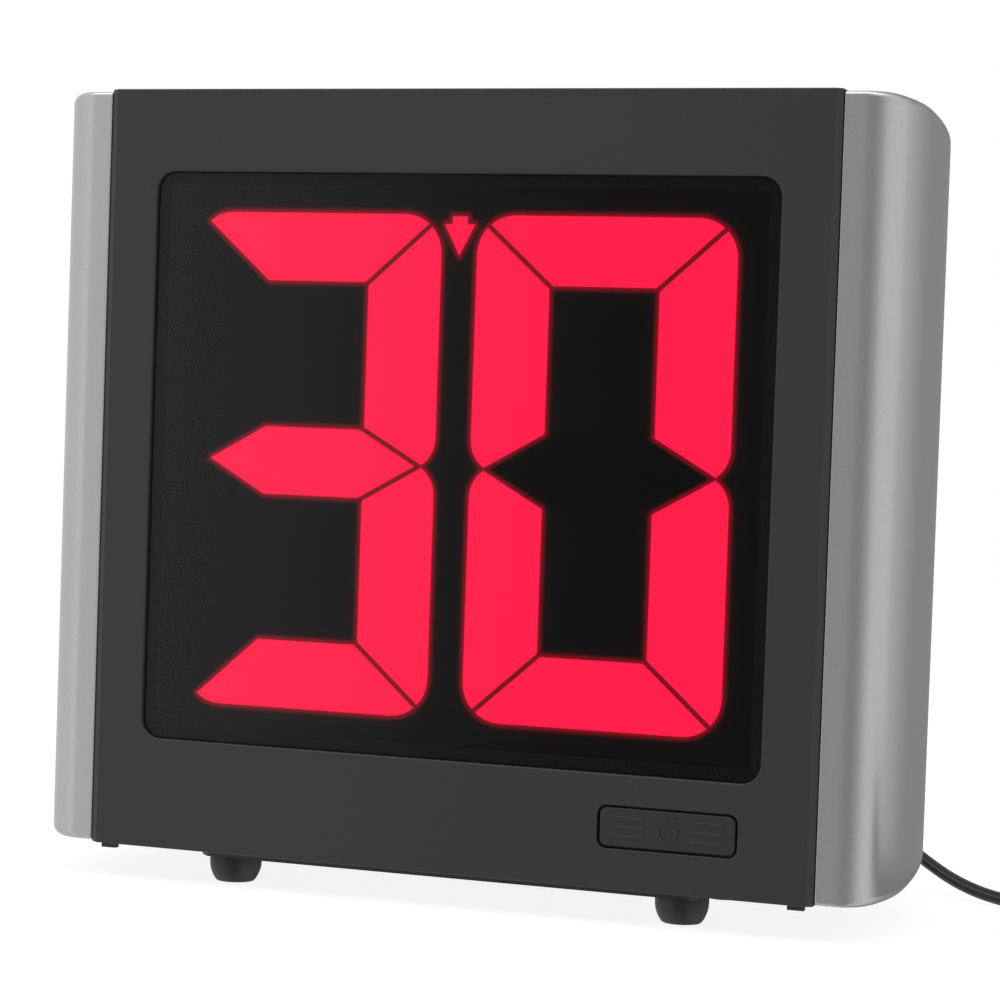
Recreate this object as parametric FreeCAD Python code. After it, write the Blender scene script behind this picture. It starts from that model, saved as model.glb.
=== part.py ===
import FreeCAD, Part
import math
import os

# Large-digit countdown timer. Millimetres, +Z up, front faces -Y.
# Origin: middle of the footprint, on the surface that the feet stand on.

V = FreeCAD.Vector

# Overall sizes
CASE_W = 235.0  # bezel and rear cover, across
CASE_H = 238.5  # bezel and rear cover, up
CASE_D = 82.0  # front face of the bezel to the back of the rear cover
FOOT_DROP = 10.6  # surface to the underside of the case
WALL = 2.5
FACE_T = 2.6  # front plate of the bezel

# Front bezel
BEZEL_D = 24.0  # front face to the parting line
BEVEL_W = 2.2
BEVEL_D = 1.6
TAB_INNER_X = 109.4
TAB_OUTER_X = 114.4
TAB_DROP = 1.6
TAB_SETBACK = 2.4
TAB_D = 2.2
LIP_T = 1.4  # locating lip of the rear cover
LIP_D = 3.0
LIP_CLEAR = 0.15

# Window, lens and light box
WINDOW_W = 201.0
WINDOW_H = 178.2
WINDOW_R = 6.2
WINDOW_RISE = 34.6  # underside of the case to the window's lower edge
LENS_SINK = 1.5
LENS_T = 1.3
LENS_CLEAR = 0.2
LEDGE_W = 4.0  # ledge under the lens, all round
LEDGE_T = 1.7
LEDGE_R = 2.0
BOX_GAP = 0.1  # between the light box and the lens or the ledge
BOX_D = 13.0
CELL_LEDGE = 1.0
DIFFUSER_T = 2.0
DIFFUSER_CLEAR = 0.05

# Digits
DIGIT_W = 81.5
DIGIT_H = 153.7
DIGIT_GAP = 11.5
UPRIGHT_W = 23.5
BAR_H = 21.0
DIGIT_R = 12.0
WAIST_R = 10.0
WAIST_TIP = 5.1  # how far the waist's tip lies inside the digit's side
MITRE_GAP = 1.5
ARROW_W = 9.8
ARROW_H = 11.8
ARROW_STEM_W = 4.8
ARROW_STEM_H = 2.4
ARROW_DROP = 0.5  # below the digits' top edge

# Boards and the parts on them
BOARD_T = 1.6
LED_BOARD_PAST_SCREW = 3.5
LED_BOARD_MARGIN = 2.0  # past the light box, up and down
LED_SIZE = 3.5
SMALL_LED_SIZE = 2.0  # behind the arrow
LED_H = 1.9
LED_PITCH = 13.0
LEDS_PER_SEGMENT = 4
MAIN_W = 132.0
MAIN_H = 62.0
MAIN_STANDOFF = 9.0  # main board to the inner face of the rear cover
MAIN_X = 38.0
MAIN_RISE = 10.0  # above the floor of the case
MAIN_EDGE = 4.0  # board's upper and lower edges to its screws
MAIN_SCREW_XS = (-24.0, 80.0)
CHIP_H = 1.8
CAPACITOR_R = 5.0
CAPACITOR_L = 14.0
BUZZER_R = 11.0
BUZZER_T = 6.0
BUZZER_HOLE_R = 0.9
RIBBON_W = 16.0
RIBBON_T = 0.8
RIBBON_X = -10.0
RIBBON_RISE = 60.0  # underside of the case to the ribbon at the LED board
RIBBON_DROP = 8.0
RIBBON_BEND = 6.0  # straight run at each end
HEADER_D = 5.0
HEADER_H = 6.0

# Reset button and its switch
RESET_W = 43.3
RESET_H = 13.1
RESET_R = 2.9
RESET_X = 72.6
RESET_RISE = 18.8  # underside of the case to the middle of the button
RESET_GAP = 0.7
RESET_TRAVEL = 1.0
RESET_SETBACK = 0.35  # the cap's face, behind the bezel's face
RESET_FLANGE = 2.0
RESET_FLANGE_T = 1.6
RESET_STEM_R = 3.0
RESET_STEM_L = 2.7
RESET_PLAY = 0.15
RESET_SLEEVE_T = 1.4
RESET_POST_R = 2.4
RESET_POST_OUT = 5.2  # post's axis, outside the flange
RESET_BOARD_H = 16.0
LEGEND_H = 0.3
LEGEND_R = 3.6
LEGEND_BAR_W = 10.5
LEGEND_BAR_H = 1.2
LEGEND_PITCH = 2.8
SWITCH_SIZE = 7.0
SWITCH_H = 4.0
PLUNGER_R = 1.7
PLUNGER_OUT = 2.0
PLUNGER_IN = 1.6
PLUNGER_PLAY = 0.08

# Rear controls
KEY_R = 4.0
KEY_PITCH = 17.0
KEY_X = 0.0  # first key
KEY_RISE = 40.0  # underside of the case to the keys' axis
KEY_TRAVEL = 0.8
KEY_OUT = 1.2
KEY_GAP = 0.25
KEY_FLANGE = 1.3
KEY_FLANGE_T = 1.2
KEY_SWITCH_H = 3.0
SLIDER_X = 62.0
SLIDER_W = 4.0
SLIDER_H = 4.4
SLIDER_OUT = 1.4
SLIDER_TRAVEL = 4.0
SLIDER_GAP = 0.25
SLIDER_IN = 2.0  # how far the knob reaches into its switch
SLIDER_SWITCH_W = 14.0
SLIDER_SWITCH_H = 8.0
SLIDER_SWITCH_D = 6.0

# Power inlet
JACK_X = 97.0
JACK_RISE = 15.0
JACK_W = 9.4
JACK_BORE_R = 3.0
JACK_PIN_R = 1.0
INLET_R = 5.6

# Side cheeks
CHEEK_SETBACK = 1.5  # cheek's front face, behind the bezel's front face
CHEEK_GAP = 0.25  # shadow gap beside the bezel
CHEEK_GAP_D = 6.0
CHEEK_FLAT = 6.4
CHEEK_REACH = 21.0  # outermost point, from the side of the case
CHEEK_TURN_R = 12.0
CHEEK_TURN = 71.3  # degrees that the front corner turns
CHEEK_SIDE_R = 288.0
CHEEK_BACK = 2.0  # the cheeks run past the back of the rear cover
CHEEK_INSET = 0.65  # below the case's top
CHEEK_RAISE = 0.45  # above the underside of the case
CHEEK_TAPER = 5.5  # the top falls by this much towards the rear
CHEEK_LIFT = 3.0  # the underside rises by this much towards the rear
CHEEK_EDGE_R = 2.0
CHEEK_REAR_R = 7.0
REAR_TAPER = 3.4  # top of the rear cover, from its front edge to its back
REAR_EDGE_R = 9.0
CHEEK_WALL = 2.2
BOSS_R = 3.4
CHEEK_SCREW_LEVELS = (30.0, 208.0)  # above the underside of the case
CHEEK_SCREW_DEPTHS = (36.0, 66.0)  # behind the bezel's front face

# Base plate and feet
PLATE_W = 164.0
PLATE_SETBACK = 5.9
PLATE_REAR = 5.0  # in front of the rear cover's back
PLATE_T = 2.1
PLATE_STEP = 0.5
PLATE_STEP_W = 1.5
PLATE_CORNER = 3.0
PLATE_SCREW_X = 30.0
PLATE_SCREW_SETBACK = 13.0
PLATE_BOSS_H = 8.0
FOOT_X = 73.7
FOOT_SETBACK = 16.2
FOOT_TOP_R = 8.2
FOOT_BASE_R = 6.2
FOOT_CURVE = 5.0  # height of the rounded part
FOOT_STEM_R = 3.0
FOOT_HEAD_R = 4.2
FOOT_HEAD_H = 1.5
FOOT_CLEAR = 0.1

# Fasteners
SCREW_R = 1.5
SCREW_HEAD_R = 2.8
SCREW_HEAD_H = 1.6
SCREW_CLEAR = 0.15
SCREW_PILOT = 0.05  # the thread's crest stops short of the pilot hole
CASE_BOSS_X = 109.0
CASE_SCREW_EDGE = 12.5  # case's top or underside to the screws
CASE_WELL_R = 3.4
CASE_WELL_WALL = 1.6
CASE_WELL_FLOOR = 6.0
CASE_SCREW_BITE = 10.0
LED_SCREW_X = 108.0
LED_SCREW_LEVELS = (42.0, 123.7, 205.4)
LED_SCREW_L = 7.0
MAIN_SCREW_L = 6.0
CHEEK_SCREW_L = 7.0
PLATE_SCREW_L = 8.0

# Vents
VENT_W = 70.0
VENT_H = 2.6
VENT_PITCH = 7.0
VENT_COUNT = 6
VENT_X = 52.0
VENT_RISE = 160.0  # underside of the case to the lowest slot

# Power lead and its adapter
CORD_R = 2.1
PLUG_R = 4.9
PLUG_L = 15.0
PLUG_PIN_R = 2.75
PLUG_PIN_L = 8.5
PLUG_PIN_BORE = 1.2
RELIEF_L = 7.0
RELIEF_R = 2.9
COIL_OUTER = 29.5  # radius of the outermost turn
COIL_INNER = 17.5
COIL_LAYERS = 2
COIL_X = 200.0
COIL_Y = 12.4
ADAPTER_W = 40.0
ADAPTER_L = 52.0
ADAPTER_H = 26.0
ADAPTER_R = 4.0
ADAPTER_X = 254.0
ADAPTER_Y = -13.0
ADAPTER_EXIT_Z = 8.0
BLADE_W = 6.3
BLADE_T = 1.5
BLADE_L = 16.0
BLADE_PITCH = 12.7
BLADE_IN = 4.0
BLADE_BACK = 12.0  # blades' axis, in front of the adapter's rear end

# The lead's route, in the model's frame. Chosen by hand: it loops out of the plug,
# comes round to the right and down, and runs along the surface to the coil.
LEAD_ROUTE = [
    (97.0, 62.3, 25.6),
    (97.4, 69.6, 25.2),
    (101.0, 76.0, 23.4),
    (107.6, 79.6, 20.6),
    (115.0, 79.2, 16.9),
    (122.2, 75.6, 13.0),
    (130.5, 69.8, 8.9),
    (140.0, 62.8, 5.2),
    (151.5, 55.0, 2.8),
    (165.0, 47.6, 2.2),
    (181.0, 42.6, 2.2),
    (200.0, 41.9, 2.2),
]
TAIL_ROUTE = [
    (200.0, 41.9, 6.4),
    (214.0, 42.5, 5.0),
    (228.0, 44.0, 2.9),
    (240.5, 43.4, 2.2),
    (250.0, 37.6, 3.4),
    (254.0, 29.0, 6.2),
    (254.0, 19.05, 8.0),
]

# Worked out from the sizes above
DEPTH = CASE_D + CHEEK_BACK
FRONT = -DEPTH / 2
BASE = FOOT_DROP
TOP = BASE + CASE_H
HALF_W = CASE_W / 2
WINDOW_Z = BASE + WINDOW_RISE + WINDOW_H / 2
LENS_BACK = LENS_SINK + LENS_T
LEDGE_BACK = LENS_BACK + LEDGE_T
BOX_FRONT = LENS_BACK + BOX_GAP
BOX_BACK = BOX_FRONT + BOX_D
BOX_W = WINDOW_W - 2 * LEDGE_W - 2 * BOX_GAP
BOX_H = WINDOW_H - 2 * LEDGE_W - 2 * BOX_GAP
DIFFUSER_BACK = BOX_FRONT + DIFFUSER_T + DIFFUSER_CLEAR
LED_BOARD_BACK = BOX_BACK + BOARD_T
RESET_Z = BASE + RESET_RISE
RESET_FLANGE_FRONT = FACE_T + BOX_GAP
RESET_FLANGE_BACK = RESET_FLANGE_FRONT + RESET_FLANGE_T
RESET_STEM_BACK = RESET_FLANGE_BACK + RESET_STEM_L
RESET_SWITCH_FRONT = RESET_STEM_BACK + PLUNGER_OUT
RESET_BOARD_FRONT = RESET_SWITCH_FRONT + SWITCH_H
RESET_POST_X = RESET_W / 2 + RESET_FLANGE + RESET_POST_OUT
RESET_HOLLOW_W = RESET_W + 2 * (RESET_FLANGE + RESET_PLAY)
RESET_HOLLOW_H = RESET_H + 2 * (RESET_FLANGE + RESET_PLAY)
REAR_INNER = CASE_D - WALL
MAIN_BACK = REAR_INNER - MAIN_STANDOFF
MAIN_FRONT = MAIN_BACK - BOARD_T
MAIN_Z = BASE + WALL + MAIN_RISE + MAIN_H / 2
KEY_Z = BASE + KEY_RISE
KEY_SWITCH_BACK = MAIN_BACK + KEY_SWITCH_H
KEY_FLANGE_BACK = REAR_INNER - BOX_GAP
JACK_Z = BASE + JACK_RISE
PLATE_BOTTOM = BASE - PLATE_T
PLATE_BACK = CASE_D - PLATE_REAR
PLATE_SEAT = BASE - PLATE_STEP  # the screws' heads bear here, inside the plate
BUZZER_X = MAIN_X + MAIN_W / 2 - BUZZER_R - 1.0
BUZZER_Z = MAIN_Z + MAIN_H / 2 - BUZZER_R - 5.0

SIDES = (-1, 1)
CASE_SCREWS = [
    (x, z)
    for x in (-CASE_BOSS_X, 0, CASE_BOSS_X)
    for z in (BASE + CASE_SCREW_EDGE, TOP - CASE_SCREW_EDGE)
]
LED_SCREWS = [(side * LED_SCREW_X, BASE + level) for side in SIDES for level in LED_SCREW_LEVELS]
MAIN_SCREWS = [(x, MAIN_Z + side * (MAIN_H / 2 - MAIN_EDGE)) for x in MAIN_SCREW_XS for side in SIDES]
CHEEK_SCREWS = [(d, BASE + level) for d in CHEEK_SCREW_DEPTHS for level in CHEEK_SCREW_LEVELS]
FEET = [(sx * FOOT_X, d) for sx in SIDES for d in (FOOT_SETBACK, CASE_D - FOOT_SETBACK)]
PLATE_SCREWS = [
    (sx * PLATE_SCREW_X, d)
    for sx in SIDES
    for d in (PLATE_SCREW_SETBACK, CASE_D - PLATE_SCREW_SETBACK)
]
KEY_NAMES = ("time_up", "time_down", "start_stop")
DIGIT_CENTRES = {
    "tens": -(DIGIT_W + DIGIT_GAP) / 2,
    "units": (DIGIT_W + DIGIT_GAP) / 2,
}

NODES = {}


def keep(name, shape):
    """Adds a piece to the assembly under its own name."""
    NODES[name] = shape


# Shapes. Depths d are measured back from the bezel's front face.


def fused(shape, *others):
    whole = shape.fuse(list(others)) if others else shape
    return whole.removeSplitter()


def block(x0, x1, d0, d1, z0, z1):
    return Part.makeBox(x1 - x0, d1 - d0, z1 - z0, V(x0, FRONT + d0, z0))


def block_at(x, z, w, h, d0, d1):
    return block(x - w / 2, x + w / 2, d0, d1, z - h / 2, z + h / 2)


def rod(x, z, r, d0, d1):
    """A cylinder along Y."""
    return Part.makeCylinder(r, d1 - d0, V(x, FRONT + d0, z), V(0, 1, 0))


def post(x, d, r, z0, z1):
    """A cylinder along Z."""
    return Part.makeCylinder(r, z1 - z0, V(x, FRONT + d, z0))


def rounded_face(x0, x1, z0, z1, r_low, r_high, d):
    """A rectangle facing front, with its lower and upper corners rounded."""
    y = FRONT + d
    half = math.sqrt(0.5)
    low, high = r_low * (1 - half), r_high * (1 - half)
    edges = [
        Part.LineSegment(V(x0 + r_low, y, z0), V(x1 - r_low, y, z0)),
        Part.Arc(V(x1 - r_low, y, z0), V(x1 - low, y, z0 + low), V(x1, y, z0 + r_low)),
        Part.LineSegment(V(x1, y, z0 + r_low), V(x1, y, z1 - r_high)),
        Part.Arc(V(x1, y, z1 - r_high), V(x1 - high, y, z1 - high), V(x1 - r_high, y, z1)),
        Part.LineSegment(V(x1 - r_high, y, z1), V(x0 + r_high, y, z1)),
        Part.Arc(V(x0 + r_high, y, z1), V(x0 + high, y, z1 - high), V(x0, y, z1 - r_high)),
        Part.LineSegment(V(x0, y, z1 - r_high), V(x0, y, z0 + r_low)),
        Part.Arc(V(x0, y, z0 + r_low), V(x0 + low, y, z0 + low), V(x0 + r_low, y, z0)),
    ]
    return Part.Face(Part.Wire([edge.toShape() for edge in edges]))


def rounded_block(x, z, w, h, r, d0, d1):
    face = rounded_face(x - w / 2, x + w / 2, z - h / 2, z + h / 2, r, r, d0)
    return face.extrude(V(0, d1 - d0, 0))


def polygon_face(points):
    corners = [V(*p) for p in points]
    return Part.Face(Part.makePolygon(corners + corners[:1]))


def prism_up(outline, z0, z1):
    """A prism over an outline of (x, d) points."""
    return polygon_face([(x, FRONT + d, z0) for x, d in outline]).extrude(V(0, 0, z1 - z0))


def screw(seat, direction, length):
    """A pan-head screw: seat is where its head bears, direction is the way it drives in."""
    shank = Part.makeCylinder(SCREW_R - SCREW_PILOT, length, seat, direction)
    head = Part.makeCylinder(SCREW_HEAD_R, SCREW_HEAD_H, seat - direction * SCREW_HEAD_H, direction)
    drive = Part.makeCylinder(
        SCREW_R * 0.7, SCREW_HEAD_H * 0.6, seat - direction * SCREW_HEAD_H, direction
    )
    return fused(shank, head).cut(drive)


def screws(name, seats, direction, length):
    keep(name, Part.makeCompound([screw(V(*seat), V(*direction), length) for seat in seats]))


# Case


def front_bezel():
    outline = [
        (-HALF_W, BEVEL_D),
        (-HALF_W + BEVEL_W, 0),
        (HALF_W - BEVEL_W, 0),
        (HALF_W, BEVEL_D),
        (HALF_W, BEZEL_D),
        (-HALF_W, BEZEL_D),
    ]
    shell = prism_up(outline, BASE, TOP).cut(
        block(-HALF_W + WALL, HALF_W - WALL, FACE_T, BEZEL_D + 1, BASE + WALL, TOP - WALL)
    )
    sleeve_back = RESET_FLANGE_BACK + RESET_TRAVEL
    adds = [
        rounded_block(
            0, WINDOW_Z, WINDOW_W + 2 * WALL, WINDOW_H + 2 * WALL, WINDOW_R, FACE_T, LEDGE_BACK
        ),
        block_at(
            RESET_X,
            RESET_Z,
            RESET_HOLLOW_W + 2 * RESET_SLEEVE_T,
            RESET_HOLLOW_H + 2 * RESET_SLEEVE_T,
            FACE_T,
            sleeve_back,
        ),
    ]
    adds += [rod(x, z, BOSS_R, FACE_T, BEZEL_D) for x, z in CASE_SCREWS]
    adds += [rod(x, z, BOSS_R, FACE_T, BOX_BACK) for x, z in LED_SCREWS]
    for side in SIDES:
        post_x = RESET_X + side * RESET_POST_X
        adds.append(rod(post_x, RESET_Z, RESET_POST_R, FACE_T, RESET_BOARD_FRONT))
        x0, x1 = sorted((side * TAB_INNER_X, side * TAB_OUTER_X))
        adds.append(block(x0, x1, TAB_SETBACK, TAB_SETBACK + TAB_D, BASE - TAB_DROP, BASE + WALL))
    adds += plate_bosses(0, BEZEL_D)
    cuts = [
        rounded_block(0, WINDOW_Z, WINDOW_W, WINDOW_H, WINDOW_R, -1, LENS_BACK),
        rounded_block(
            0, WINDOW_Z, WINDOW_W - 2 * LEDGE_W, WINDOW_H - 2 * LEDGE_W, LEDGE_R, 0, LEDGE_BACK + 1
        ),
        rounded_block(RESET_X, RESET_Z, RESET_W, RESET_H, RESET_R, -1, FACE_T + 1),
        block_at(RESET_X, RESET_Z, RESET_HOLLOW_W, RESET_HOLLOW_H, FACE_T, sleeve_back + 1),
    ]
    cuts += [rod(x, z, SCREW_R, BEZEL_D - CASE_SCREW_BITE - 1, BEZEL_D + 1) for x, z in CASE_SCREWS]
    cuts += [rod(x, z, SCREW_R, BOX_BACK - LED_SCREW_L, BOX_BACK + 1) for x, z in LED_SCREWS]
    for side in SIDES:
        post_x = RESET_X + side * RESET_POST_X
        cuts.append(rod(post_x, RESET_Z, SCREW_R, RESET_BOARD_FRONT - 6, RESET_BOARD_FRONT + 1))
    cuts += floor_holes(0, BEZEL_D)
    keep("front_bezel", fused(shell, *adds).cut(cuts).removeSplitter())


def plate_bosses(d0, d1):
    """Bosses in the case's floor that take the base plate's screws."""
    return [
        post(x, d, BOSS_R, BASE + WALL / 2, BASE + WALL + PLATE_BOSS_H)
        for x, d in PLATE_SCREWS
        if d0 < d < d1
    ]


def floor_holes(d0, d1):
    """Holes in the case's floor: the feet's barbed heads and the base plate's screws."""
    heads = [
        post(x, d, FOOT_HEAD_R + 1.0, BASE - 1, BASE + WALL + 1) for x, d in FEET if d0 < d < d1
    ]
    pilots = [
        post(x, d, SCREW_R, BASE - 1, PLATE_SEAT + PLATE_SCREW_L + 1)
        for x, d in PLATE_SCREWS
        if d0 < d < d1
    ]
    return heads + pilots


# Rear cover


def rear_top(d):
    """Height of the rear cover's sloping top."""
    return TOP - REAR_TAPER * (d - BEZEL_D) / (CASE_D - BEZEL_D)


def rear_block(inset, d0, d1):
    """The rear cover's outline, drawn in by an inset, with its two long rear edges rounded."""
    outline = [
        (-HALF_W + inset, FRONT + d0, BASE + inset),
        (-HALF_W + inset, FRONT + d1, BASE + inset),
        (-HALF_W + inset, FRONT + d1, rear_top(d1) - inset),
        (-HALF_W + inset, FRONT + d0, rear_top(d0) - inset),
    ]
    solid = polygon_face(outline).extrude(V(CASE_W - 2 * inset, 0, 0))
    rear = [
        edge
        for edge in solid.Edges
        if edge.BoundBox.XLength > CASE_W / 2 and edge.BoundBox.YMin > FRONT + d1 - 1
    ]
    return solid.makeFillet(REAR_EDGE_R - inset, rear)


def lip():
    """A ring inside the parting line that locates the two halves."""
    outer = WALL + LIP_CLEAR
    inner = outer + LIP_T
    front, back = BEZEL_D - LIP_D, BEZEL_D + LIP_D
    ring = block_at(0, BASE + CASE_H / 2, CASE_W - 2 * outer, CASE_H - 2 * outer, front, back)
    root = block_at(0, BASE + CASE_H / 2, CASE_W - WALL, CASE_H - WALL - 1, BEZEL_D, back)
    hollow = block_at(
        0, BASE + CASE_H / 2, CASE_W - 2 * inner, CASE_H - 2 * inner, front - 1, back + 1
    )
    return ring.fuse(root).cut(hollow)


def rear_cover():
    outer = rear_block(0, BEZEL_D, CASE_D)
    shell = outer.cut(rear_block(WALL, BEZEL_D, REAR_INNER))
    well_r = CASE_WELL_R + CASE_WELL_WALL
    adds = [lip()]
    adds += [rod(x, z, well_r, BEZEL_D, CASE_D).common(outer) for x, z in CASE_SCREWS]
    adds += [rod(x, z, BOSS_R, MAIN_BACK, REAR_INNER + 1) for x, z in MAIN_SCREWS]
    adds += [
        rod(JACK_X, JACK_Z, INLET_R + 1.4, REAR_INNER - 0.6, REAR_INNER + 1),
        rod(BUZZER_X, BUZZER_Z, BUZZER_R + 1.5, REAR_INNER - 1.2, REAR_INNER + 1),
    ]
    adds += plate_bosses(BEZEL_D, CASE_D)
    cuts = [
        rod(BUZZER_X, BUZZER_Z, BUZZER_R - 1.5, REAR_INNER - 2, REAR_INNER),
        rod(JACK_X, JACK_Z, JACK_BORE_R + 0.6, REAR_INNER - 1, CASE_D + 1),
        rod(JACK_X, JACK_Z, INLET_R, CASE_D - 0.8, CASE_D + 1),
    ]
    for x, z in CASE_SCREWS:
        cuts.append(rod(x, z, SCREW_R + SCREW_CLEAR, BEZEL_D - 1, CASE_D + 1))
        cuts.append(rod(x, z, CASE_WELL_R, BEZEL_D + CASE_WELL_FLOOR, CASE_D + 1))
    cuts += [rod(x, z, SCREW_R, MAIN_BACK - 1, MAIN_BACK + MAIN_SCREW_L) for x, z in MAIN_SCREWS]
    for index in range(len(KEY_NAMES)):
        cuts.append(rod(KEY_X + index * KEY_PITCH, KEY_Z, KEY_R + KEY_GAP, REAR_INNER - 1, CASE_D + 1))
    cuts.append(
        block_at(
            SLIDER_X + SLIDER_TRAVEL / 2,
            KEY_Z,
            SLIDER_W + SLIDER_TRAVEL + 2 * SLIDER_GAP,
            SLIDER_H + 2 * SLIDER_GAP,
            REAR_INNER - 1,
            CASE_D + 1,
        )
    )
    for side in SIDES:
        for index in range(VENT_COUNT):
            z = BASE + VENT_RISE + index * VENT_PITCH
            cuts.append(
                block_at(side * VENT_X, z, VENT_W, VENT_H, REAR_INNER - 1, CASE_D + 1)
            )
    holes = [(0, 0)] + [
        (math.cos(turn * math.pi / 3) * 4.0, math.sin(turn * math.pi / 3) * 4.0) for turn in range(6)
    ]
    for dx, dz in holes:
        cuts.append(
            rod(BUZZER_X + dx, BUZZER_Z + dz, BUZZER_HOLE_R, REAR_INNER - 2, CASE_D + 1)
        )
    for d, z in CHEEK_SCREWS:
        start = V(-HALF_W - 1, FRONT + d, z)
        cuts.append(Part.makeCylinder(SCREW_R + SCREW_CLEAR, CASE_W + 2, start, V(1, 0, 0)))
    cuts += floor_holes(BEZEL_D, CASE_D)
    keep("rear_cover", fused(shell, *adds).cut(cuts).removeSplitter())


# Side cheeks


def cheek_profile(side, inset, z):
    """Plan outline of a cheek as (distance out from the case, depth), drawn in by an inset."""
    turn = math.radians(CHEEK_TURN)
    shoulder_r = CHEEK_REACH - CHEEK_FLAT - CHEEK_TURN_R * math.sin(turn)
    shoulder_r = shoulder_r / (1 - math.sin(turn))
    corner = (CHEEK_FLAT, CHEEK_SETBACK + CHEEK_TURN_R)
    shoulder = (
        corner[0] - (shoulder_r - CHEEK_TURN_R) * math.sin(turn),
        corner[1] + (shoulder_r - CHEEK_TURN_R) * math.cos(turn),
    )
    flank = (CHEEK_REACH - CHEEK_SIDE_R, shoulder[1])
    closing = math.asin((DEPTH - inset - flank[1]) / (CHEEK_SIDE_R - inset))

    def on_arc(centre, radius, heading):
        u = centre[0] + (radius - inset) * math.sin(heading)
        d = centre[1] - (radius - inset) * math.cos(heading)
        return V(side * (HALF_W + u), FRONT + d, z)

    def arc(centre, radius, start, end):
        points = [on_arc(centre, radius, start + (end - start) * part / 2) for part in range(3)]
        return Part.Arc(*points)

    quarter = math.pi / 2
    arcs = [
        arc(corner, CHEEK_TURN_R, 0, turn),
        arc(shoulder, shoulder_r, turn, quarter),
        arc(flank, CHEEK_SIDE_R, quarter, quarter + closing),
    ]
    first = on_arc(corner, CHEEK_TURN_R, 0)
    last = on_arc(flank, CHEEK_SIDE_R, quarter + closing)
    if inset:
        inner = [last, V(side * (HALF_W - 1), last.y, z), V(side * (HALF_W - 1), first.y, z), first]
    else:
        near, step = side * (HALF_W + CHEEK_GAP), FRONT + CHEEK_SETBACK + CHEEK_GAP_D
        inner = [
            last,
            V(side * HALF_W, last.y, z),
            V(side * HALF_W, step, z),
            V(near, step, z),
            V(near, first.y, z),
            first,
        ]
    lines = [Part.LineSegment(a, b) for a, b in zip(inner, inner[1:])]
    return Part.Face(Part.Wire([edge.toShape() for edge in arcs + lines]))


def cheek_side(inset):
    """Side view of a cheek: it closes in towards the rear, with rounded rear corners."""
    top = TOP - CHEEK_INSET - inset
    bottom = BASE + CHEEK_RAISE + inset
    y0, y1 = FRONT + CHEEK_SETBACK, FRONT + DEPTH - inset
    reach = HALF_W + CHEEK_REACH + 5
    face = polygon_face(
        [
            (-reach, y0, bottom),
            (-reach, y1, bottom + CHEEK_LIFT),
            (-reach, y1, top - CHEEK_TAPER),
            (-reach, y0, top),
        ]
    )
    solid = face.extrude(V(2 * reach, 0, 0))
    rear = [
        edge
        for edge in solid.Edges
        if edge.BoundBox.XLength > reach and edge.BoundBox.YMin > y1 - 1
    ]
    return solid.makeFillet(CHEEK_REAR_R - inset, rear)


def cheek_solid(side, inset):
    height = cheek_profile(side, inset, BASE - 5).extrude(V(0, 0, CASE_H + 10))
    return height.common(cheek_side(inset))


def cheek(name, side):
    outer = cheek_solid(side, 0)
    inner_x = HALF_W + CHEEK_GAP + 0.01
    rim = [
        edge
        for edge in outer.Edges
        if min(abs(vertex.X) for vertex in edge.Vertexes) >= inner_x - 0.01
        and max(abs(vertex.X) for vertex in edge.Vertexes) > inner_x + 0.5
        and (edge.BoundBox.ZLength < CASE_H / 2 or edge.BoundBox.YMin > FRONT + DEPTH - 1)
        and abs(edge.BoundBox.ZLength - edge.Length) > 0.01
    ]
    shell = outer.makeFillet(CHEEK_EDGE_R, rim).cut(cheek_solid(side, CHEEK_WALL))
    bosses = []
    pilots = []
    for d, z in CHEEK_SCREWS:
        start = V(side * HALF_W, FRONT + d, z)
        bosses.append(Part.makeCylinder(BOSS_R, CHEEK_REACH, start, V(side, 0, 0)).common(outer))
        pilots.append(Part.makeCylinder(SCREW_R, CHEEK_SCREW_L, start, V(side, 0, 0)))
    keep(name, fused(shell, *bosses).cut(pilots))


# Window, lens and digits


def display_lens():
    keep(
        "display_lens",
        rounded_block(
            0,
            WINDOW_Z,
            WINDOW_W - 2 * LENS_CLEAR,
            WINDOW_H - 2 * LENS_CLEAR,
            WINDOW_R - LENS_CLEAR,
            LENS_SINK,
            LENS_BACK,
        ),
    )


def strip(a, b):
    """A narrow band along the line a to b, run on past both ends."""
    dx, dz = b[0] - a[0], b[1] - a[1]
    length = math.hypot(dx, dz)
    ux, uz = dx / length, dz / length
    nx, nz = -uz * MITRE_GAP / 2, ux * MITRE_GAP / 2
    x0, z0, x1, z1 = a[0] - 2 * ux, a[1] - 2 * uz, b[0] + 8 * ux, b[1] + 8 * uz
    outline = [(x0 + nx, z0 + nz), (x1 + nx, z1 + nz), (x1 - nx, z1 - nz), (x0 - nx, z0 - nz)]
    return polygon_face([(x, FRONT, z) for x, z in outline])


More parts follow.
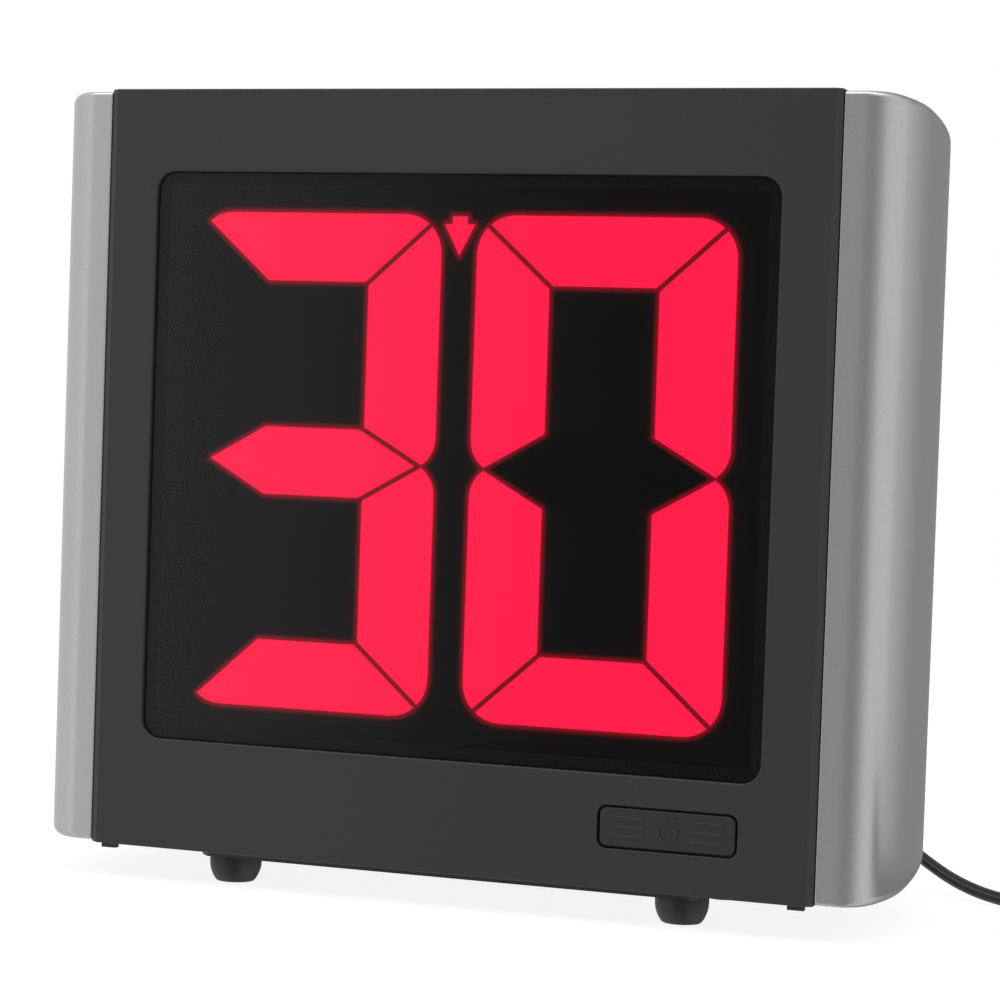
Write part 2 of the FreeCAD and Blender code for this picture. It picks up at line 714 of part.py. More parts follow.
def digit_faces():
    """The seven segments of a digit centred on the origin, as faces in the front plane."""
    half_w, half_h = DIGIT_W / 2, DIGIT_H / 2
    waist_z = math.sqrt(WAIST_R**2 - (WAIST_R - WAIST_TIP) ** 2)
    outline = rounded_face(-half_w, half_w, waist_z - WAIST_R, half_h, WAIST_R, DIGIT_R, 0)
    lower = polygon_face(
        [(-half_w, FRONT, -half_h), (half_w, FRONT, -half_h), (half_w, FRONT, 0), (-half_w, FRONT, 0)]
    )
    eye_x, eye_low, eye_high = half_w - UPRIGHT_W, BAR_H / 2, half_h - BAR_H
    eye = polygon_face(
        [
            (-eye_x, FRONT, eye_low),
            (eye_x, FRONT, eye_low),
            (eye_x, FRONT, eye_high),
            (-eye_x, FRONT, eye_high),
        ]
    )
    cuts = [lower, eye]
    for side in SIDES:
        cuts.append(strip((side * eye_x, eye_high), (side * half_w, half_h)))
        cuts.append(strip((side * eye_x, eye_low), (side * (half_w - WAIST_TIP), 0)))
    faces = {}
    for face in outline.cut(cuts).Faces:
        centre = face.CenterOfMass
        if centre.z > eye_high:
            faces["a"] = face
        elif abs(centre.x) < 1:
            middle = face
        elif centre.x > 0:
            faces["b"] = face
        else:
            faces["f"] = face
    mirrored = {"a": "d", "b": "c", "f": "e"}
    for upper, lower_name in mirrored.items():
        faces[lower_name] = faces[upper].mirror(V(0, 0, 0), V(0, 0, 1))
    bar = middle.extrude(V(0, 1, 0))
    bar = fused(bar, bar.mirror(V(0, 0, 0), V(0, 0, 1)))
    faces["g"] = [face for face in bar.Faces if face.BoundBox.YMax < FRONT + 0.1][0]
    return faces


def arrow_face():
    """The small arrow between the digits, pointing down."""
    top = WINDOW_Z + DIGIT_H / 2 - ARROW_DROP
    shoulder = top - ARROW_STEM_H
    outline = [
        (-ARROW_STEM_W / 2, top),
        (-ARROW_STEM_W / 2, shoulder),
        (-ARROW_W / 2, shoulder),
        (0, top - ARROW_H),
        (ARROW_W / 2, shoulder),
        (ARROW_STEM_W / 2, shoulder),
        (ARROW_STEM_W / 2, top),
    ]
    return polygon_face([(x, FRONT, z) for x, z in outline])


def led_spots(face, count):
    """LED positions spread along the longer side of a segment."""
    centre, box = face.CenterOfMass, face.BoundBox
    along = (1, 0) if box.XLength > box.ZLength else (0, 1)
    steps = [(index - (count - 1) / 2) * LED_PITCH for index in range(count)]
    return [(centre.x + along[0] * step, centre.z + along[1] * step) for step in steps]


def display():
    """Light box, light-up segments, LED board and LEDs."""
    windows = {"countdown_arrow": (arrow_face(), 1, SMALL_LED_SIZE)}
    faces = digit_faces()
    for digit, x in DIGIT_CENTRES.items():
        for letter in sorted(faces):
            face = faces[letter].translated(V(x, 0, WINDOW_Z))
            windows[f"{digit}_segment_{letter}"] = (face, LEDS_PER_SEGMENT, LED_SIZE)
    box = rounded_block(0, WINDOW_Z, BOX_W, BOX_H, LEDGE_R, BOX_FRONT, BOX_BACK)
    shoulder = block_at(
        0, WINDOW_Z, BOX_W + 6, BOX_H + 6, LEDGE_BACK + BOX_GAP, LEDGE_BACK + BOX_GAP + 2
    )
    box = box.fuse(shoulder)
    cuts = []
    leds = []
    for name, (face, count, size) in windows.items():
        segment = face.translated(V(0, BOX_FRONT, 0)).extrude(V(0, DIFFUSER_T, 0))
        keep(name, segment)
        pocket = face.makeOffset2D(DIFFUSER_CLEAR, 2).translated(V(0, BOX_FRONT - 1, 0))
        cuts.append(pocket.extrude(V(0, DIFFUSER_BACK - BOX_FRONT + 1, 0)))
        cell = face.makeOffset2D(-CELL_LEDGE, 2).translated(V(0, BOX_FRONT, 0))
        cuts.append(cell.extrude(V(0, BOX_D + 1, 0)))
        for x, z in led_spots(face, count):
            leds.append(block_at(x, z, size, size, BOX_BACK - LED_H, BOX_BACK))
    keep("light_box", box.cut(cuts))
    keep("leds", Part.makeCompound(leds))
    board_w = 2 * (LED_SCREW_X + LED_BOARD_PAST_SCREW)
    board = block_at(
        0, WINDOW_Z, board_w, BOX_H + 2 * LED_BOARD_MARGIN, BOX_BACK, LED_BOARD_BACK
    )
    holes = [
        rod(x, z, SCREW_R + SCREW_CLEAR, BOX_BACK - 1, LED_BOARD_BACK + 1) for x, z in LED_SCREWS
    ]
    keep("led_board", board.cut(holes))


# Reset button


def reset_parts():
    cap_w, cap_h = RESET_W - 2 * RESET_GAP, RESET_H - 2 * RESET_GAP
    cap = rounded_block(
        RESET_X, RESET_Z, cap_w, cap_h, RESET_R - RESET_GAP, RESET_SETBACK, RESET_FLANGE_FRONT
    )
    flange = block_at(
        RESET_X,
        RESET_Z,
        RESET_W + 2 * RESET_FLANGE,
        RESET_H + 2 * RESET_FLANGE,
        RESET_FLANGE_FRONT,
        RESET_FLANGE_BACK,
    )
    raised = RESET_SETBACK - LEGEND_H
    legend = [
        rod(RESET_X, RESET_Z, LEGEND_R, raised, RESET_SETBACK).cut(
            rod(RESET_X, RESET_Z, LEGEND_R - LEGEND_BAR_H, raised - 1, RESET_SETBACK + 1)
        )
    ]
    for side in SIDES:
        x = RESET_X + side * (RESET_W / 4 + LEGEND_R / 2 - 0.5)
        for row in (-1, 0, 1):
            z = RESET_Z + row * LEGEND_PITCH
            legend.append(block_at(x, z, LEGEND_BAR_W, LEGEND_BAR_H, raised, RESET_SETBACK))
    stem = rod(RESET_X, RESET_Z, RESET_STEM_R, RESET_FLANGE_BACK, RESET_STEM_BACK)
    keep("reset_button", fused(cap, flange, stem, *legend))
    keep("reset_plunger", rod(RESET_X, RESET_Z, PLUNGER_R, RESET_STEM_BACK, RESET_SWITCH_FRONT + PLUNGER_IN))
    body = block_at(RESET_X, RESET_Z, SWITCH_SIZE, SWITCH_SIZE, RESET_SWITCH_FRONT, RESET_BOARD_FRONT)
    bore = rod(
        RESET_X,
        RESET_Z,
        PLUNGER_R + PLUNGER_PLAY,
        RESET_SWITCH_FRONT - 1,
        RESET_SWITCH_FRONT + PLUNGER_IN + RESET_TRAVEL + 0.3,
    )
    keep("reset_switch", body.cut(bore))
    board_back = RESET_BOARD_FRONT + BOARD_T
    board_w = 2 * (RESET_POST_X + RESET_POST_R + 1)
    board = block_at(RESET_X, RESET_Z, board_w, RESET_BOARD_H, RESET_BOARD_FRONT, board_back)
    seats = [(RESET_X + side * RESET_POST_X, FRONT + board_back, RESET_Z) for side in SIDES]
    holes = [
        rod(x, z, SCREW_R + SCREW_CLEAR, RESET_BOARD_FRONT - 1, board_back + 1) for x, _, z in seats
    ]
    keep("reset_board", board.cut(holes))
    screws("reset_board_screws", seats, (0, -1, 0), 6.0)


# Main board and rear controls


def main_board():
    board = block_at(MAIN_X, MAIN_Z, MAIN_W, MAIN_H, MAIN_FRONT, MAIN_BACK)
    holes = [rod(x, z, SCREW_R + SCREW_CLEAR, MAIN_FRONT - 1, MAIN_BACK + 1) for x, z in MAIN_SCREWS]
    well_r = CASE_WELL_R + CASE_WELL_WALL + 0.6
    holes += [rod(x, z, well_r, MAIN_FRONT - 1, MAIN_BACK + 1) for x, z in CASE_SCREWS]
    keep("main_board", board.cut(holes))
    front = MAIN_FRONT - CHIP_H
    chips = [
        block_at(28, MAIN_Z + 2, 16, 16, front, MAIN_FRONT),
        block_at(60, MAIN_Z + 8, 12, 6, front, MAIN_FRONT),
        block_at(60, MAIN_Z - 12, 9, 7, front - 1, MAIN_FRONT),
    ]
    keep("board_chips", Part.makeCompound(chips))
    keep("capacitor", rod(90, MAIN_Z - 8, CAPACITOR_R, MAIN_FRONT - CAPACITOR_L, MAIN_FRONT))
    keep("piezo_buzzer", rod(BUZZER_X, BUZZER_Z, BUZZER_R, MAIN_BACK, MAIN_BACK + BUZZER_T))
    jack = block_at(JACK_X, JACK_Z, JACK_W, JACK_W, MAIN_BACK, REAR_INNER - 0.6)
    bore = rod(JACK_X, JACK_Z, JACK_BORE_R, REAR_INNER - PLUG_PIN_L, REAR_INNER)
    pin = rod(JACK_X, JACK_Z, JACK_PIN_R, MAIN_BACK, REAR_INNER - 2)
    keep("dc_jack", fused(jack.cut(bore), pin))


def ribbon():
    """Flat cable from the LED board back to the main board, with a header at each end."""
    high = BASE + RIBBON_RISE
    low = high - RIBBON_DROP
    headers = [
        block_at(RIBBON_X, high, RIBBON_W + 3, HEADER_H, LED_BOARD_BACK, LED_BOARD_BACK + HEADER_D),
        block_at(RIBBON_X, low, RIBBON_W + 3, HEADER_H, MAIN_FRONT - HEADER_D, MAIN_FRONT),
    ]
    keep("ribbon_headers", Part.makeCompound(headers))
    d0, d1 = LED_BOARD_BACK + HEADER_D, MAIN_FRONT - HEADER_D
    path = [(d0, high), (d0 + RIBBON_BEND, high), (d1 - RIBBON_BEND, low), (d1, low)]
    half = RIBBON_T / 2
    outline = [(d, z + half) for d, z in path] + [(d, z - half) for d, z in reversed(path)]
    x = RIBBON_X - RIBBON_W / 2
    face = polygon_face([(x, FRONT + d, z) for d, z in outline])
    keep("ribbon_cable", face.extrude(V(RIBBON_W, 0, 0)))


def rear_controls():
    bodies = []
    for index, name in enumerate(KEY_NAMES):
        x = KEY_X + index * KEY_PITCH
        cap = rod(x, KEY_Z, KEY_R, KEY_FLANGE_BACK, CASE_D + KEY_OUT)
        flange = rod(
            x, KEY_Z, KEY_R + KEY_FLANGE, KEY_FLANGE_BACK - KEY_FLANGE_T, KEY_FLANGE_BACK
        )
        start = KEY_SWITCH_BACK - PLUNGER_IN
        stem = rod(x, KEY_Z, PLUNGER_R, start, KEY_FLANGE_BACK)
        keep(f"{name}_key", fused(cap, flange, stem))
        body = block_at(x, KEY_Z, SWITCH_SIZE, SWITCH_SIZE, MAIN_BACK, KEY_SWITCH_BACK)
        bore = rod(
            x, KEY_Z, PLUNGER_R + PLUNGER_PLAY, start - KEY_TRAVEL - 0.3, KEY_SWITCH_BACK + 1
        )
        bodies.append(body.cut(bore))
    keep("setting_switches", Part.makeCompound(bodies))
    middle = SLIDER_X + SLIDER_TRAVEL / 2
    back = MAIN_BACK + SLIDER_SWITCH_D
    body = block_at(middle, KEY_Z, SLIDER_SWITCH_W, SLIDER_SWITCH_H, MAIN_BACK, back)
    slot = block_at(
        middle,
        KEY_Z,
        SLIDER_W + SLIDER_TRAVEL + 2 * SLIDER_GAP,
        SLIDER_H + 2 * SLIDER_GAP,
        back - SLIDER_IN - 0.3,
        back + 1,
    )
    keep("slide_switch", body.cut(slot))
    keep("slide_knob", block_at(SLIDER_X, KEY_Z, SLIDER_W, SLIDER_H, back - SLIDER_IN, CASE_D + SLIDER_OUT))


# Base plate and feet


def plate_outline(inset):
    x, d0, d1 = PLATE_W / 2 - inset, PLATE_SETBACK + inset, PLATE_BACK - inset
    corner = PLATE_CORNER
    return [(-x, d1), (-x, d0 + corner), (-x + corner, d0), (x - corner, d0), (x, d0 + corner), (x, d1)]


def base_plate():
    step_z = BASE - PLATE_STEP
    plate = prism_up(plate_outline(0), PLATE_BOTTOM, step_z)
    plate = plate.fuse(prism_up(plate_outline(PLATE_STEP_W), step_z, BASE))
    holes = [post(x, d, FOOT_STEM_R + FOOT_CLEAR, PLATE_BOTTOM - 1, BASE + 1) for x, d in FEET]
    holes += [
        post(x, d, SCREW_R + SCREW_CLEAR, PLATE_BOTTOM - 1, BASE + 1) for x, d in PLATE_SCREWS
    ]
    holes += [
        post(x, d, SCREW_HEAD_R + SCREW_CLEAR, PLATE_BOTTOM - 1, PLATE_SEAT) for x, d in PLATE_SCREWS
    ]
    keep("base_plate", plate.cut(holes).removeSplitter())


def foot(name, x, d):
    """A rubber foot pushed into the base plate, turned about its own axis."""
    y = FRONT + d
    head_z = BASE + FOOT_CLEAR
    middle = (FOOT_BASE_R + FOOT_TOP_R) / 2 + 0.45
    curve = Part.Arc(
        V(x + FOOT_BASE_R, y, 0), V(x + middle, y, FOOT_CURVE * 0.32), V(x + FOOT_TOP_R, y, FOOT_CURVE)
    )
    corners = [
        (FOOT_TOP_R, FOOT_CURVE),
        (FOOT_TOP_R, PLATE_BOTTOM),
        (FOOT_STEM_R, PLATE_BOTTOM),
        (FOOT_STEM_R, head_z),
        (FOOT_HEAD_R, head_z),
        (FOOT_HEAD_R, head_z + FOOT_HEAD_H),
        (0, head_z + FOOT_HEAD_H),
        (0, 0),
        (FOOT_BASE_R, 0),
    ]
    points = [V(x + r, y, z) for r, z in corners]
    edges = [curve] + [Part.LineSegment(a, b) for a, b in zip(points, points[1:])]
    face = Part.Face(Part.Wire([edge.toShape() for edge in edges]))
    keep(name, face.revolve(V(x, y, 0), V(0, 0, 1), 360))


def feet():
    names = ("foot_front_left", "foot_rear_left", "foot_front_right", "foot_rear_right")
    for name, (x, d) in zip(names, FEET):
        foot(name, x, d)


# Fasteners


def fasteners():
    seat_d = FRONT + BEZEL_D + CASE_WELL_FLOOR
    seats = [(x, seat_d, z) for x, z in CASE_SCREWS]
    screws("case_screws", seats, (0, -1, 0), CASE_WELL_FLOOR + CASE_SCREW_BITE)
    seats = [(x, FRONT + LED_BOARD_BACK, z) for x, z in LED_SCREWS]
    screws("led_board_screws", seats, (0, -1, 0), LED_SCREW_L)
    seats = [(x, FRONT + MAIN_FRONT, z) for x, z in MAIN_SCREWS]
    screws("main_board_screws", seats, (0, 1, 0), MAIN_SCREW_L)
    seats = [(x, FRONT + d, PLATE_SEAT) for x, d in PLATE_SCREWS]
    screws("base_plate_screws", seats, (0, 0, 1), PLATE_SCREW_L)
    both = []
    for side in SIDES:
        for d, z in CHEEK_SCREWS:
            seat = V(side * (HALF_W - WALL), FRONT + d, z)
            both.append(screw(seat, V(side, 0, 0), CHEEK_SCREW_L))
    keep("cheek_screws", Part.makeCompound(both))


# Power lead


def route_wire(route):
    """Straight runs joined by arcs that touch both runs."""
    points = [V(*p) for p in route]
    edges = []
    start = points[0]
    radii = []
    for before, corner, after in zip(points, points[1:], points[2:]):
        a, b = before - corner, after - corner
        shorter = min(a.Length, b.Length)
        a.normalize()
        b.normalize()
        half_turn = (math.pi - a.getAngle(b)) / 2
        if half_turn < 0.002:
            continue
        tangent = 0.45 * shorter
        radius = tangent / math.tan(half_turn)
        radii.append(radius)
        enter, leave = corner + a * tangent, corner + b * tangent
        inward = (a + b).normalize()
        apex = corner + inward * (radius / math.cos(half_turn) - radius)
        edges.append(Part.LineSegment(start, enter))
        edges.append(Part.Arc(enter, apex, leave))
        start = leave
    edges.append(Part.LineSegment(start, points[-1]))
    return Part.Wire([edge.toShape() for edge in edges]), radii


def tube(name, route, radius):
    wire, radii = route_wire(route)
    start = V(*route[0])
    heading = V(*route[1]) - start
    section = Part.Wire([Part.makeCircle(radius, start, heading)])
    solid = wire.makePipeShell([section], True, False)
    print(name, "length", round(wire.Length, 1), "smallest bend", round(min(radii), 1))
    print(name, "volume over section", round(solid.Volume / (math.pi * radius**2 * wire.Length), 4))
    keep(name, solid)


def power_lead():
    x, y, z = JACK_X, FRONT + CASE_D + 0.3, JACK_Z
    back = V(0, 1, 0)
    body = Part.makeCylinder(PLUG_R, PLUG_L, V(x, y, z), back)
    relief = Part.makeCone(PLUG_R - 1, RELIEF_R, RELIEF_L, V(x, y + PLUG_L, z), back)
    keep("dc_plug", fused(body, relief))
    sleeve = Part.makeCylinder(PLUG_PIN_R, PLUG_PIN_L, V(x, y, z), -back)
    hollow = Part.makeCylinder(PLUG_PIN_BORE, PLUG_PIN_L + 1, V(x, y, z), -back)
    keep("dc_plug_tip", sleeve.cut(hollow))
    tube("cord_lead", LEAD_ROUTE, CORD_R)
    tube("cord_tail", TAIL_ROUTE, CORD_R)
    high = COIL_LAYERS * 2 * CORD_R + 0.2
    ring = Part.makeCylinder(COIL_OUTER + CORD_R, high, V(COIL_X, COIL_Y, 0))
    hole = Part.makeCylinder(COIL_INNER - CORD_R, high + 2, V(COIL_X, COIL_Y, -1))
    keep("cord_coil", ring.cut(hole))


def adapter():
    x, y = ADAPTER_X, ADAPTER_Y
    body = Part.makeBox(
        ADAPTER_W, ADAPTER_L, ADAPTER_H, V(x - ADAPTER_W / 2, y - ADAPTER_L / 2, 0)
    )
    body = body.makeFillet(ADAPTER_R, body.Edges)
    blade_y = y - ADAPTER_L / 2 + BLADE_BACK
    blades = []
    for side in SIDES:
        blade_x = x + side * BLADE_PITCH / 2
        blades.append(
            Part.makeBox(
                BLADE_T,
                BLADE_W,
                BLADE_L + BLADE_IN,
                V(blade_x - BLADE_T / 2, blade_y - BLADE_W / 2, ADAPTER_H - BLADE_IN),
            )
        )
    rear = V(x, y + ADAPTER_L / 2, ADAPTER_EXIT_Z)
    relief = Part.makeCone(RELIEF_R + 1.2, RELIEF_R, RELIEF_L, rear - V(0, 1, 0), V(0, 1, 0))
    socket = Part.makeCylinder(RELIEF_R + 1.3, 2, rear - V(0, 1, 0), V(0, 1, 0))
    keep("adapter_body", body.cut(blades).cut(socket))
    keep("adapter_relief", relief)
    keep("adapter_blades", Part.makeCompound(blades))


front_bezel()
rear_cover()
cheek("left_cheek", -1)
cheek("right_cheek", 1)
display_lens()
display()
reset_parts()
main_board()
ribbon()
rear_controls()
base_plate()
feet()
fasteners()
power_lead()
adapter()

os.makedirs("parts", exist_ok=True)
for node, shape in NODES.items():
    shape.exportStep(f"parts/{node}.step")
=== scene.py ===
import math

import bmesh
import bpy
import numpy as np
from mathutils import Matrix, Vector
from mathutils.geometry import tessellate_polygon


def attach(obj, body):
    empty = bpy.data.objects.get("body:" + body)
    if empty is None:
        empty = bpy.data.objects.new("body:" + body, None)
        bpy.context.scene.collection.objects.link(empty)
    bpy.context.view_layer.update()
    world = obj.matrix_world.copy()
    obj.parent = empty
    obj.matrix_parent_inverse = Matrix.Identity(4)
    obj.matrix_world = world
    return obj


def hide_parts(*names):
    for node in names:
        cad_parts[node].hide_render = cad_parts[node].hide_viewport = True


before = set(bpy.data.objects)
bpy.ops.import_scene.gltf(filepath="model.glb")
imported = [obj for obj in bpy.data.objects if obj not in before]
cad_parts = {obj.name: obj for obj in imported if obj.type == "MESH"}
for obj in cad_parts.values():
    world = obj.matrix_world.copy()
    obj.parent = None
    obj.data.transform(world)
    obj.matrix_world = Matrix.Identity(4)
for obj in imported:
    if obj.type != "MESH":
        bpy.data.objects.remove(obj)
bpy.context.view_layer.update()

# Sizes in millimetres. x runs to the right, z up, and depth d back from the bezel's front face.

# Case
FRONT = -42.0  # y of the bezel's front face
DEPTH = 84.0
HALF_W = 117.5  # without the cheeks
BASE, TOP = 10.6, 249.1  # z of the underside and of the top
SIDES = (-1, 1)

# Bezel
BEZEL_D = 24.0
BEZEL_WALL = 4.5
BEVEL_W, BEVEL_D = 2.2, 1.6  # the bevel down each side of the front
WINDOW_W, WINDOW_H, WINDOW_R, WINDOW_Z = 201.0, 178.2, 6.2, 134.3
LEDGE_W, LEDGE_D = 4.0, 2.8  # the ledge behind the lens
RESET_W, RESET_H, RESET_R = 43.3, 13.1, 2.9  # the opening for the reset button
RESET_X, RESET_Z = 72.6, 29.4
TAB_X, TAB_D = (109.4, 114.4), (2.4, 4.6)

# Cheeks
CHEEK_REACH = 21.0
CHEEK_SETBACK = 1.5
CHEEK_GAP = 0.25
CHEEK_RAISE, CHEEK_LIFT = 0.45, 3.0  # underside: above the case's in front, and its rise to the rear
CHEEK_INSET, CHEEK_TAPER = 0.65, 5.5  # top: below the case's in front, and its fall to the rear

# Display
LENS_GAP = 0.2
LENS_D = 1.5
DIGIT_W, DIGIT_H = 81.5, 153.7
DIGIT_X = 46.5  # each digit's centre, from the middle
SEGMENT_D = 2.87
LIGHT_BOX_W, LIGHT_BOX_H, LIGHT_BOX_D = 192.8, 170.0, 2.9

# Feet, rear keys and adapter
FOOT_X, FOOT_D = 73.7, (16.2, 65.8)
KEY_Z, KEY_PITCH = 50.6, 17.0
PLUG_X, PLUG_D, PLUG_Z = 97.0, 82.3, 25.6
ADAPTER_X, ADAPTER_Y = 254.0, -13.0  # in the frame's x and y
ADAPTER_W, ADAPTER_L, ADAPTER_H = 40.0, 52.0, 26.0


def at(x, d, z):
    """The place in the frame, in metres."""
    return Vector((x, FRONT + d, z)) / 1000


class Build:
    """Collects vertices and faces, in millimetres as (x, depth, z)."""

    def __init__(self):
        self.verts = []
        self.faces = []

    def add(self, points):
        first = len(self.verts)
        self.verts += [tuple(p) for p in points]
        return list(range(first, first + len(points)))

    def loft(self, rings, closed=True, cap_first=False, cap_last=False):
        """Faces between neighbouring rings that have as many points each."""
        ids = [self.add(ring) for ring in rings]
        n = len(ids[0])
        for a, b in zip(ids, ids[1:]):
            for i in range(n if closed else n - 1):
                j = (i + 1) % n
                self.faces.append((a[i], a[j], b[j], b[i]))
        if cap_first:
            self.faces.append(tuple(reversed(ids[0])))
        if cap_last:
            self.faces.append(tuple(ids[-1]))
        return ids

    def flat(self, loops, d):
        """A front-facing plate with holes: loops of (x, z)."""
        ids = []
        for loop in loops:
            ids += self.add([(x, d, z) for x, z in loop])
        outlines = [[Vector((x, z, 0)) for x, z in loop] for loop in loops]
        for tri in tessellate_polygon(outlines):
            self.faces.append(tuple(ids[i] for i in tri))

    def box(self, x0, x1, d0, d1, z0, z1):
        ring = [(x0, z0), (x1, z0), (x1, z1), (x0, z1)]
        self.loft([[(x, d, z) for x, z in ring] for d in (d0, d1)], True, True, True)

    def make(self, name, material, body="case", replaces=(), angle=35.0, weighted=True):
        mesh = bpy.data.meshes.new(name)
        mesh.from_pydata([at(*v) for v in self.verts], [], self.faces)
        bm = bmesh.new()
        bm.from_mesh(mesh)
        bmesh.ops.remove_doubles(bm, verts=bm.verts, dist=2e-6)
        bmesh.ops.dissolve_degenerate(bm, dist=1e-6, edges=bm.edges)
        bmesh.ops.recalc_face_normals(bm, faces=bm.faces)
        bm.to_mesh(mesh)
        bm.free()
        return finish_mesh(name, mesh, material, body, replaces, angle, weighted)


def finish_mesh(name, mesh, material, body, replaces, angle=35.0, weighted=True):
    """Puts a mesh in the scene as a piece on a body."""
    mesh.shade_smooth()
    mesh.set_sharp_from_angle(angle=math.radians(angle))
    obj = bpy.data.objects.new(name, mesh)
    bpy.context.scene.collection.objects.link(obj)
    mesh.materials.append(material)
    if weighted:
        mod = obj.modifiers.new("weighted normals", "WEIGHTED_NORMAL")
        mod.keep_sharp = True
    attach(obj, body)
    if replaces:
        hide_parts(*replaces)
    return obj


def rrect(cx, cz, w, h, r, n=8):
    """A rounded rectangle as (x, z) points."""
    points = []
    for sx, sz, start in ((1, 1, 0), (-1, 1, 90), (-1, -1, 180), (1, -1, 270)):
        ox, oz = cx + sx * (w / 2 - r), cz + sz * (h / 2 - r)
        for i in range(n + 1):
            a = math.radians(start + 90 * i / n)
            points.append((ox + r * math.cos(a), oz + r * math.sin(a)))
    return points


def ring(loop, d):
    """An (x, z) outline placed at a depth."""
    return [(x, d, z) for x, z in loop]


def rounding(r, n=5):
    """A rounded edge from the face down: pairs of the inset from the side and the depth below the face."""
    return [(r * (1 - math.sin(a)), r * (1 - math.cos(a))) for a in np.linspace(0, math.pi / 2, n + 1)]


def fillet(path, r, n=5):
    """Rounds the inner corners of an open 2-D path; r lists a radius for each corner."""
    out = [path[0]]
    for i in range(1, len(path) - 1):
        p, a, b = Vector(path[i]), Vector(path[i - 1]), Vector(path[i + 1])
        ua, ub = (a - p).normalized(), (b - p).normalized()
        radius = r[i - 1]
        half = ua.angle(ub) / 2
        if radius <= 0 or half > math.pi / 2 - 0.01:
            out.append(tuple(p))
            continue
        t = radius / math.tan(half)
        centre = p + (ua + ub).normalized() * (radius / math.sin(half))
        start, end = p + ua * t - centre, p + ub * t - centre
        turn = start.angle_signed(end)
        for k in range(n + 1):
            a = -turn * k / n
            out.append(tuple(centre + Matrix.Rotation(a, 2) @ start))
    out.append(path[-1])
    return out


# Materials


def material(name, colour, rough, metallic=0.0, grain=None, mottle=0.0, coat=0.0, specular=0.5):
    """A painted or moulded finish. grain is (scale per metre, bump distance in metres) and
    mottle is the share by which the colour varies."""
    m = bpy.data.materials.new(name)
    m.use_nodes = True
    tree = m.node_tree
    b = tree.nodes["Principled BSDF"]
    b.inputs["Base Color"].default_value = (*colour, 1)
    b.inputs["Roughness"].default_value = rough
    b.inputs["Metallic"].default_value = metallic
    b.inputs["Specular IOR Level"].default_value = specular
    b.inputs["Coat Weight"].default_value = coat
    coords = tree.nodes.new("ShaderNodeTexCoord")
    if mottle:
        noise = tree.nodes.new("ShaderNodeTexNoise")
        noise.inputs["Scale"].default_value = grain[0] if grain else 900
        noise.inputs["Detail"].default_value = 3
        tree.links.new(coords.outputs["Object"], noise.inputs["Vector"])
        ramp = tree.nodes.new("ShaderNodeValToRGB")
        low = [c * (1 - mottle) for c in colour]
        high = [min(1, c * (1 + mottle)) for c in colour]
        ramp.color_ramp.elements[0].position = 0.3
        ramp.color_ramp.elements[0].color = (*low, 1)
        ramp.color_ramp.elements[1].position = 0.7
        ramp.color_ramp.elements[1].color = (*high, 1)
        tree.links.new(noise.outputs["Fac"], ramp.inputs["Fac"])
        tree.links.new(ramp.outputs["Color"], b.inputs["Base Color"])
    if grain:
        bumps = tree.nodes.new("ShaderNodeTexNoise")
        bumps.inputs["Scale"].default_value = grain[0]
        bumps.inputs["Detail"].default_value = 2
        tree.links.new(coords.outputs["Object"], bumps.inputs["Vector"])
        bump = tree.nodes.new("ShaderNodeBump")
        bump.inputs["Distance"].default_value = grain[1]
        bump.inputs["Strength"].default_value = 1.0
        tree.links.new(bumps.outputs["Fac"], bump.inputs["Height"])
        tree.links.new(bump.outputs["Normal"], b.inputs["Normal"])
    return m


BEZEL = material(
    "charcoal bezel", (0.0215, 0.0192, 0.0215), 0.5, grain=(1500, 0.00004), mottle=0.14, specular=0.4
)
CASE = material("charcoal case", (0.03, 0.028, 0.03), 0.55, grain=(1500, 0.00005), mottle=0.1)
SILVER = material(
    "silver paint", (0.43, 0.42, 0.43), 0.34, metallic=0.8, grain=(1800, 0.000012), mottle=0.06
)
BLACK = material("black plastic", (0.012, 0.012, 0.012), 0.5, mottle=0.05)
BUTTON = material("button plastic", (0.015, 0.0132, 0.015), 0.45, grain=(1500, 0.00002), mottle=0.1)
RUBBER = material("rubber", (0.010, 0.009, 0.009), 0.55, grain=(1200, 0.00003), mottle=0.1)
CORD = material("flexible PVC", (0.019, 0.018, 0.017), 0.42, mottle=0.05)
ADAPTER = material("adapter plastic", (0.018, 0.018, 0.018), 0.5, grain=(1400, 0.00004), mottle=0.08)
STEEL = material("plated steel", (0.55, 0.55, 0.56), 0.35, metallic=1.0, mottle=0.08)
NICKEL = material("nickel plate", (0.65, 0.64, 0.6), 0.22, metallic=1.0, mottle=0.04)
BOARD = material("board", (0.04, 0.15, 0.07), 0.4, mottle=0.1, coat=0.3)
WHITE = material("natural nylon", (0.7, 0.68, 0.62), 0.5, mottle=0.04)
LED_BODY = material("led body", (0.75, 0.72, 0.68), 0.3, mottle=0.04)
SLEEVE = material("capacitor sleeve", (0.03, 0.03, 0.09), 0.3, mottle=0.05)
RIBBON = material("ribbon", (0.4, 0.4, 0.4), 0.45, mottle=0.06)


